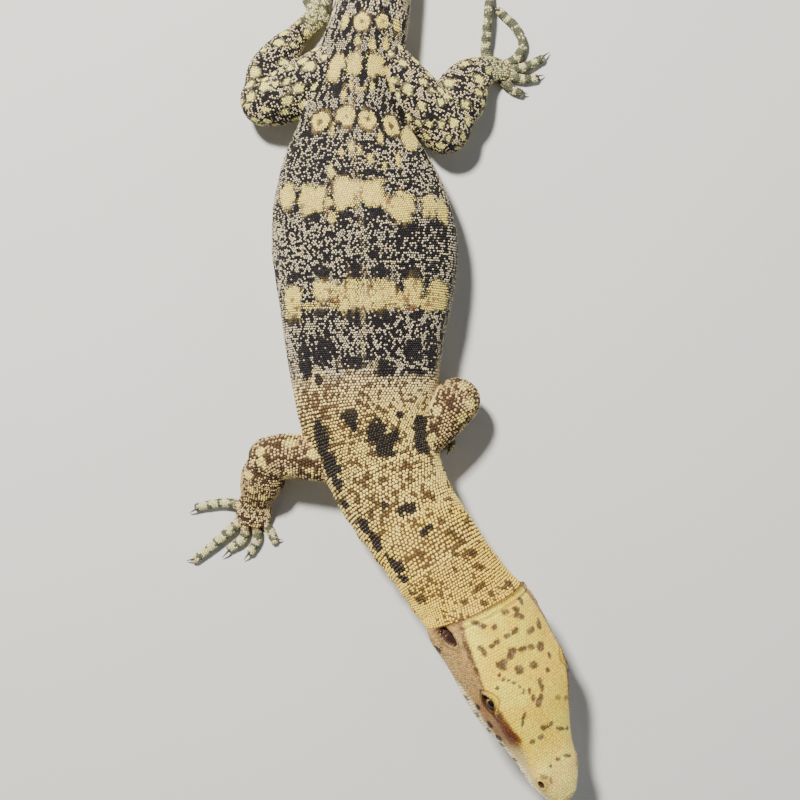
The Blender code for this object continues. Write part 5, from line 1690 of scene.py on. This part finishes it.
@dataclass
class Coat:
    """Scales of the whole animal, as solid low domes over the skin."""

    spine: Spine
    head: Head
    limbs: dict
    toes: dict
    markings: Markings
    skin: Thing
    made: list = field(default_factory=list)

    def __post_init__(self) -> None:
        """Prepare the search tree of the skin."""
        self.tree = BVHTree.FromObject(self.skin, bpy.context.evaluated_depsgraph_get())

    def trunk_surface(self, lengths: Array, angles: Array) -> Array:
        """Return trunk skin points at lengths along the spine; angle 0 is the belly's middle."""
        return self.spine.surface(self.spine.rows_at(lengths), angles - math.pi / 2, -self.spine.coat)

    def clear_of_limbs(self, roots: Roots) -> Array:
        """Tell which roots lie outside every leg part."""
        free = np.ones(len(roots.places), dtype=bool)
        for part in self.limbs.values():
            free &= part.locate(roots.places)[2] > 0.97
        return free

    def trunk_roots(self, first: float, last: float, kind: ScaleKind, span: tuple, seed: int) -> Roots:
        """Set scales on the trunk between two rows of the table and two angles."""
        start, end = np.interp((first, last), self.spine.fine, self.spine.along)
        lengths = np.arange(start, end, kind.long)
        roots = scatter(self.trunk_surface, lengths, kind, span, seed)
        return roots.keep(self.clear_of_limbs(roots))

    def limb_roots(self, name: str, part: Limb, kind: ScaleKind, seed: int) -> Roots:
        """Set scales round a leg part or toe, leaving out those inside the rest of the animal."""
        start, end = part.ends(0.96)
        if name not in self.limbs:
            start = 0.05 * part.along[-1]
        lengths = np.arange(start, end, kind.long)
        roots = scatter(lambda row, turn: part.surface(row, turn, -part.coat), lengths, kind,
                        (0.0, TAU), seed)
        free = self.spine.locate(roots.places)[3] > 0.99
        for other, shape in self.limbs.items():
            if other != name:
                free &= shape.locate(roots.places)[2] > 0.97
        if name in self.limbs:
            for other, shape in self.toes.items():
                free &= shape.locate(roots.places)[2] > 0.8
        return roots.keep(free)

    def head_roots(self, seed: int) -> Roots:
        """Set plates on the head: larger on crown and snout, finest on temples and round the eyes."""
        found = []
        temple = ScaleKind(0.43 * MM, 0.5 * MM, 0.045 * MM, 0.48)
        crown = ScaleKind(0.62 * MM, 0.72 * MM, 0.035 * MM)
        jaw = ScaleKind(0.68 * MM, 0.78 * MM, 0.07 * MM)
        bands = (((0.0, 0.62), temple), ((0.62, math.pi - 0.62), crown),
                 ((math.pi - 0.62, math.pi), temple), ((math.pi, TAU), jaw))
        for number, (span, kind) in enumerate(bands):
            lengths = np.arange(0.3 * MM, 46.6 * MM, kind.long)
            roots = scatter(lambda row, turn: self.head.plain(row / MM, turn) * MM, lengths, kind,
                            span, seed + number)
            local = roots.places / MM
            ahead, height, beside = -local[:, 1], local[:, 2], np.abs(local[:, 0]) > 2.0
            eye, ear, nose = self.head.gaps(ahead, height)
            free = ~(beside & ((eye < 1.12) | (ear < 1.1) | (nose < 1.35)))
            mouth = np.abs(height - self.head.mouth_height(ahead)) < 0.32
            free &= ~(mouth & (ahead > 12.5))
            roots.sizes = roots.sizes * (1.0 - 0.35 * beside * bump(eye, 1.2, 0.5))[:, None]
            roots.chart = roots.chart + np.array((0.02 * number, 0.0))
            frame = np.array(self.head.frame())
            roots.places, roots.run = self.head.to_world(local), roots.run @ frame[:3, :3].T
            found.append(roots.keep(free))
        return join_roots(found)

    def build(self, name: str, roots: Roots, kind: ScaleKind, finish: Material) -> None:
        """Make one piece of scales from its roots and remember it.

        Args:
            name: Name of the piece.
            roots: Where the scales stand.
            kind: Shape of the scales.
            finish: Material.
        """
        hits = [self.tree.find_nearest(place, 1.6 * MM) for place in roots.places]
        met = np.array([hit[0] is not None for hit in hits])
        roots = roots.keep(met)
        found = [hit for hit in hits if hit[0] is not None]
        places = np.array([hit[0] for hit in found])
        normal = unit(np.array([hit[1] for hit in found]))
        run = unit(roots.run - normal * (roots.run * normal).sum(-1, keepdims=True))
        side = np.cross(normal, run)
        points, triangles = kind.template()
        half_long, half_wide, high = (roots.sizes[:, k, None, None] for k in range(3))
        solid = (places[:, None, :] + half_long * points[None, :, 0, None] * run[:, None, :]
                 + half_wide * points[None, :, 1, None] * side[:, None, :]
                 + high * points[None, :, 2, None] * normal[:, None, :])
        solid[..., 2] = np.maximum(solid[..., 2], 0.0)
        count = len(places)
        faces = (triangles[None] + (np.arange(count) * len(points))[:, None, None]).reshape(-1, 3)
        piece = mesh_object(name, solid.reshape(-1, 3), faces)
        grain = lattice_hash(np.floor(roots.chart / (0.05 * MM)), len(name))
        if kind.by_point:
            flat = self.markings.colour(solid.reshape(-1, 3), np.repeat(grain, len(points)))
            colours = flat.reshape(count, len(points), 3)
        else:
            colours = self.markings.colour(places, grain)[:, None, :]
        # Painted light on every scale: shade towards its foot and a highlight on its top.
        shade = np.repeat(kind.shade_and_highlight, (kind.sides, kind.sides, 1))
        worn = 0.88 + 0.24 * lattice_hash(np.floor(roots.chart / (0.05 * MM)), len(name) + 5)
        painted = colours * shade[None, :, None] * worn[:, None, None]
        paint(piece, np.clip(painted, 0.0, 0.95).reshape(-1, 3))
        self._unwrap(piece, roots.chart, points, triangles)
        piece.data.materials.append(finish)
        self.made.append(piece)
        log.info("%s: %d scales, %d triangles", name, count, len(faces))

    def _unwrap(self, piece: Thing, chart: Array, points: Array,
                triangles: Array) -> None:
        """Give each scale a small patch at its root's place on the unrolled skin."""
        low, high = chart.min(0), chart.max(0)
        spread = (chart - low) / max((high - low).max(), 1e-6) * 0.98 + 0.01
        patch = spread[:, None, :] + points[None, :, :2] * 0.0015
        corners = patch[:, triangles.ravel()].reshape(-1, 2)
        layer = piece.data.uv_layers.new(name="OFBake")
        layer.data.foreach_set("uv", np.ascontiguousarray(corners, dtype=np.float32).ravel())


def join_roots(found: list) -> Roots:
    """Put several sets of roots into one."""
    return Roots(*(np.concatenate([getattr(one, key) for one in found])
                   for key in ("places", "run", "chart", "sizes")))


@dataclass
class Eye:
    """One eyeball with its iris and pupil, looking sideways from its socket."""

    head: Head
    side: int
    rings: int = 40
    sides: int = 40
    pupil: tuple = (0.004, 0.003, 0.003)
    iris: tuple = (0.11, 0.045, 0.016)
    inner: tuple = (0.50, 0.30, 0.10)
    white: tuple = (0.025, 0.012, 0.008)

    def build(self, finish: Material) -> Thing:
        """Make the ball with its pole on the line of sight and rings of iris and pupil round it."""
        name = "eyeball_left" if self.side > 0 else "eyeball_right"
        polar = np.linspace(0.02, math.pi - 0.02, self.rings)
        ring, angle = np.meshgrid(polar, turns(self.sides), indexing="ij")
        radius = self.head.eye_radius * (1.0 + 0.045 * bump(ring, 0.0, 0.5))
        aim = unit(np.array((self.side * 1.0, -0.12, 0.36)))
        across = unit(np.cross(aim, (0.0, 0.0, 1.0)))
        up = np.cross(across, aim)
        ring, angle = ring[..., None], angle[..., None]
        flat = np.sin(ring) * (np.cos(angle) * across + np.sin(angle) * up)
        local = radius[..., None] * (np.cos(ring) * aim + flat)
        middle = np.array((self.side * self.head.eye_out, -self.head.eye_forward, self.head.eye_height))
        ball = shell(name, self.head.to_world((local + middle).reshape(-1, 3)).reshape(local.shape))
        ring = ring.ravel()
        colour = layered(blend(ramp(ring, 0.48, 0.54), self.pupil, self.iris),
                         (bump(ring, 0.57, 0.05) * 0.8, self.inner), (ramp(ring, 0.92, 1.05), self.white))
        colour = np.vstack((colour, (0.006, 0.005, 0.005), (0.05, 0.025, 0.015)))
        paint(ball, colour)
        ball.data.materials.append(finish)
        return ball


@dataclass
class Claws:
    """All twenty claws, one piece."""

    radius: float = 0.5 * MM
    tip: float = 0.07 * MM
    arch: float = 0.75 * MM
    steps: int = 14
    sides: int = 10

    def build(self, finish: Material) -> Thing:
        """Make each claw as a tapering hook: a straight line plus an arch that leans to its root."""
        share = np.linspace(0.0, 1.0, self.steps)
        turn = turns(self.sides)
        clouds, faces, colours, first = [], [], [], 0
        for toes in TOE_ROWS.values():
            for rows in toes:
                root, tip = np.array(rows[-2]) * MM, np.array(rows[-1]) * MM
                back = unit(np.array(rows[-3]) * MM - root)
                root = root + back * 0.7 * MM
                lift = np.array((0.0, 0.0, self.arch)) * np.sin(math.pi * share ** 0.8)[:, None]
                line = root + (tip - root) * share[:, None] + lift
                run = unit(np.gradient(line, axis=0))
                side = unit(np.cross(run, (0.0, 0.0, 1.0)))
                up = np.cross(side, run)
                size = (self.radius + (self.tip - self.radius) * share ** 0.9)[:, None, None]
                grid = (line[:, None, :] + size * (0.8 * np.cos(turn)[None, :, None] * side[:, None, :]
                                                   + np.sin(turn)[None, :, None] * up[:, None, :]))
                made = shell("claw", grid)
                clouds.append(points_of(made))
                index = np.empty(len(made.data.loops), dtype=np.int32)
                made.data.loops.foreach_get("vertex_index", index)
                faces.append(index.reshape(-1, 3) + first)
                first += len(clouds[-1])
                tone = blend(np.repeat(share, self.sides), (0.030, 0.018, 0.012), (0.12, 0.07, 0.035))
                colours.append(np.vstack((tone, (0.035, 0.022, 0.016), (0.30, 0.20, 0.11))))
                bpy.data.objects.remove(made)
        places = np.concatenate(clouds)
        places[:, 2] = np.maximum(places[:, 2], 0.02 * MM)
        piece = mesh_object("claws", places, np.concatenate(faces))
        paint(piece, np.concatenate(colours))
        piece.data.materials.append(finish)
        return piece


@dataclass
class Studio:
    """Floor, lights and camera."""

    view: View = View()
    floor_half: float = 1.6

    def build(self) -> None:
        """Set up a plain pale floor, a soft key from the tail's side, a broad fill and the camera."""
        reach = self.floor_half
        corners = np.array(((-1, -1, 0), (1, -1, 0), (1, 1, 0), (-1, 1, 0))) * reach
        floor = mesh_object("floor", corners, np.array(((0, 1, 2), (0, 2, 3))))
        floor.data.materials.append(FloorFinish().make())
        self._lamp("key", (-0.20, 0.30, 0.58), 0.08, 12.8, (1.0, 0.96, 0.88))
        self._lamp("fill", (0.60, -0.20, 0.45), 0.5, 1.1, (0.93, 0.96, 1.0))
        self._lamp("back", (-0.55, -0.40, 0.50), 0.5, 0.7, (1.0, 1.0, 1.0))
        world = bpy.data.worlds.new("studio")
        bpy.context.scene.world = world
        world.use_nodes = True
        world.node_tree.nodes["Background"].inputs[0].default_value = (0.85, 0.9, 1.0, 1.0)
        world.node_tree.nodes["Background"].inputs[1].default_value = 0.11
        camera = bpy.data.cameras.new("camera")
        camera.lens, camera.sensor_width, camera.clip_start = self.view.lens, 36.0, 0.01
        holder = bpy.data.objects.new("camera", camera)
        holder.location = (self.view.x, self.view.y, self.view.z)
        bpy.context.scene.collection.objects.link(holder)
        bpy.context.scene.camera = holder

    def _lamp(self, name: str, place: tuple, size: float, power: float, colour: tuple) -> None:
        """Add one square soft light that faces the middle of the animal."""
        lamp = bpy.data.lights.new(name, "AREA")
        lamp.size, lamp.energy, lamp.color = size, power, colour
        holder = bpy.data.objects.new(name, lamp)
        holder.location = place
        aim = Vector((0.0, -0.02, 0.0)) - Vector(place)
        holder.rotation_euler = aim.to_track_quat("-Z", "Y").to_euler()
        bpy.context.scene.collection.objects.link(holder)


def ride(piece: Thing) -> None:
    """Fix a piece to the one body."""
    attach(piece, "root")


def toe_limbs() -> dict:
    """Return every toe as a tube that is thick at the knuckles and tapers to its claw."""
    made = {}
    for foot, toes in TOE_ROWS.items():
        for number, rows in enumerate(toes, 1):
            radius = 1.2 - 0.26 * np.linspace(0.0, 1.0, len(rows) - 1)
            sizes = tuple((*row, r * 1.02, r) for row, r in zip(rows[:-1], radius))
            made[f"{foot}_toe_{number}"] = Limb(sizes, 0.12 * MM)
    return made


def dress_trunk(coat: Coat, finish: Material) -> None:
    """Set the scales of neck, torso and tail."""
    dorsal, ventral, round_about = (0.95, TAU - 0.95), (-0.95, 0.95), (0.0, TAU)
    plan = (
        ("nape_scales", 0.0, 1.6, "nape", dorsal), ("neck_scales", 1.6, 4.6, "neck", dorsal),
        ("throat_scales", 0.0, 4.6, "belly", ventral), ("shoulder_scales", 4.6, 7.0, "shoulder", dorsal),
        ("back_scales_front", 7.0, 9.6, "back", dorsal), ("back_scales_rear", 9.6, 12.8, "back", dorsal),
        ("hip_scales", 12.8, 15.8, "hip", dorsal), ("belly_scales", 4.6, 15.8, "belly", ventral),
        ("tail_scales_front", 15.8, 19.0, "tail", round_about),
        ("tail_scales_rear", 19.0, 26.6, "whip", round_about),
    )
    for seed, (name, first, last, kind, span) in enumerate(plan):
        kind = SCALE_KINDS[kind]
        coat.build(name, coat.trunk_roots(first, last, kind, span, 100 + seed), kind, finish)


def dress_legs(coat: Coat, finish: Material) -> None:
    """Set the scales of the legs, one piece a leg with its toes."""
    for side in ("right", "left"):
        for group, foot in ((("upper_arm", "forearm"), "hand"), (("thigh", "shank"), "foot")):
            found = [coat.limb_roots(f"{part}_{side}", coat.limbs[f"{part}_{side}"], SCALE_KINDS[part],
                                     200 + len(part)) for part in group]
            found += [coat.limb_roots(name, toe, SCALE_KINDS["toe"], 300 + number)
                      for number, (name, toe) in enumerate(coat.toes.items())
                      if name.startswith(f"{foot}_{side}")]
            shift = 0.0
            for roots in found:
                roots.chart[:, 0] += shift
                shift = roots.chart[:, 0].max() + 1.5 * MM
            coat.build(f"{group[0]}_scales_{side}", join_roots(found), SCALE_KINDS[group[0]], finish)


def main() -> None:
    """Build and dress the whole animal."""
    logging.basicConfig(level=logging.INFO, format="%(name)s: %(message)s")
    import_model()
    head = Head()
    spine = Spine(np.array(head.frame())[:3, 1])
    limbs = {name: Limb(rows) for name, rows in LEG_ROWS.items()}
    toes = toe_limbs()
    skin = Skin(spine, head, limbs, toes).build()
    log.info("skin: %d triangles", sum(len(face.vertices) - 2 for face in skin.data.polygons))
    markings = Markings(spine, head, limbs, toes)
    markings.place_marks(skin)
    places = points_of(skin)
    paint(skin, markings.colour(places, cloud(places, 0.7 * MM, 41), True))
    skin.data.materials.clear()
    skin.data.materials.append(SkinFinish().make())
    ride(skin)
    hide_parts(*FLESH_NODES)
    coat = Coat(spine, head, limbs, toes, markings, skin)
    bead = ScaleFinish("monitor_scales").make()
    dress_trunk(coat, bead)
    dress_legs(coat, bead)
    plate = ScaleFinish("monitor_head_plates", 0.36, 0.2).make()
    coat.build("head_plates", coat.head_roots(400), SCALE_KINDS["plate"], plate)
    for piece in coat.made:
        ride(piece)
    for side, node in ((1, "eye_left"), (-1, "eye_right")):
        ball = Eye(head, side).build(EyeFinish().make())
        log.info("%s: one ball", ball.name)
        ride(ball)
        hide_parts(node)
    claws = Claws().build(ClawFinish().make())
    log.info("claws: %d triangles", len(claws.data.polygons))
    ride(claws)
    Studio().build()


if __name__ == "__main__":
    main()
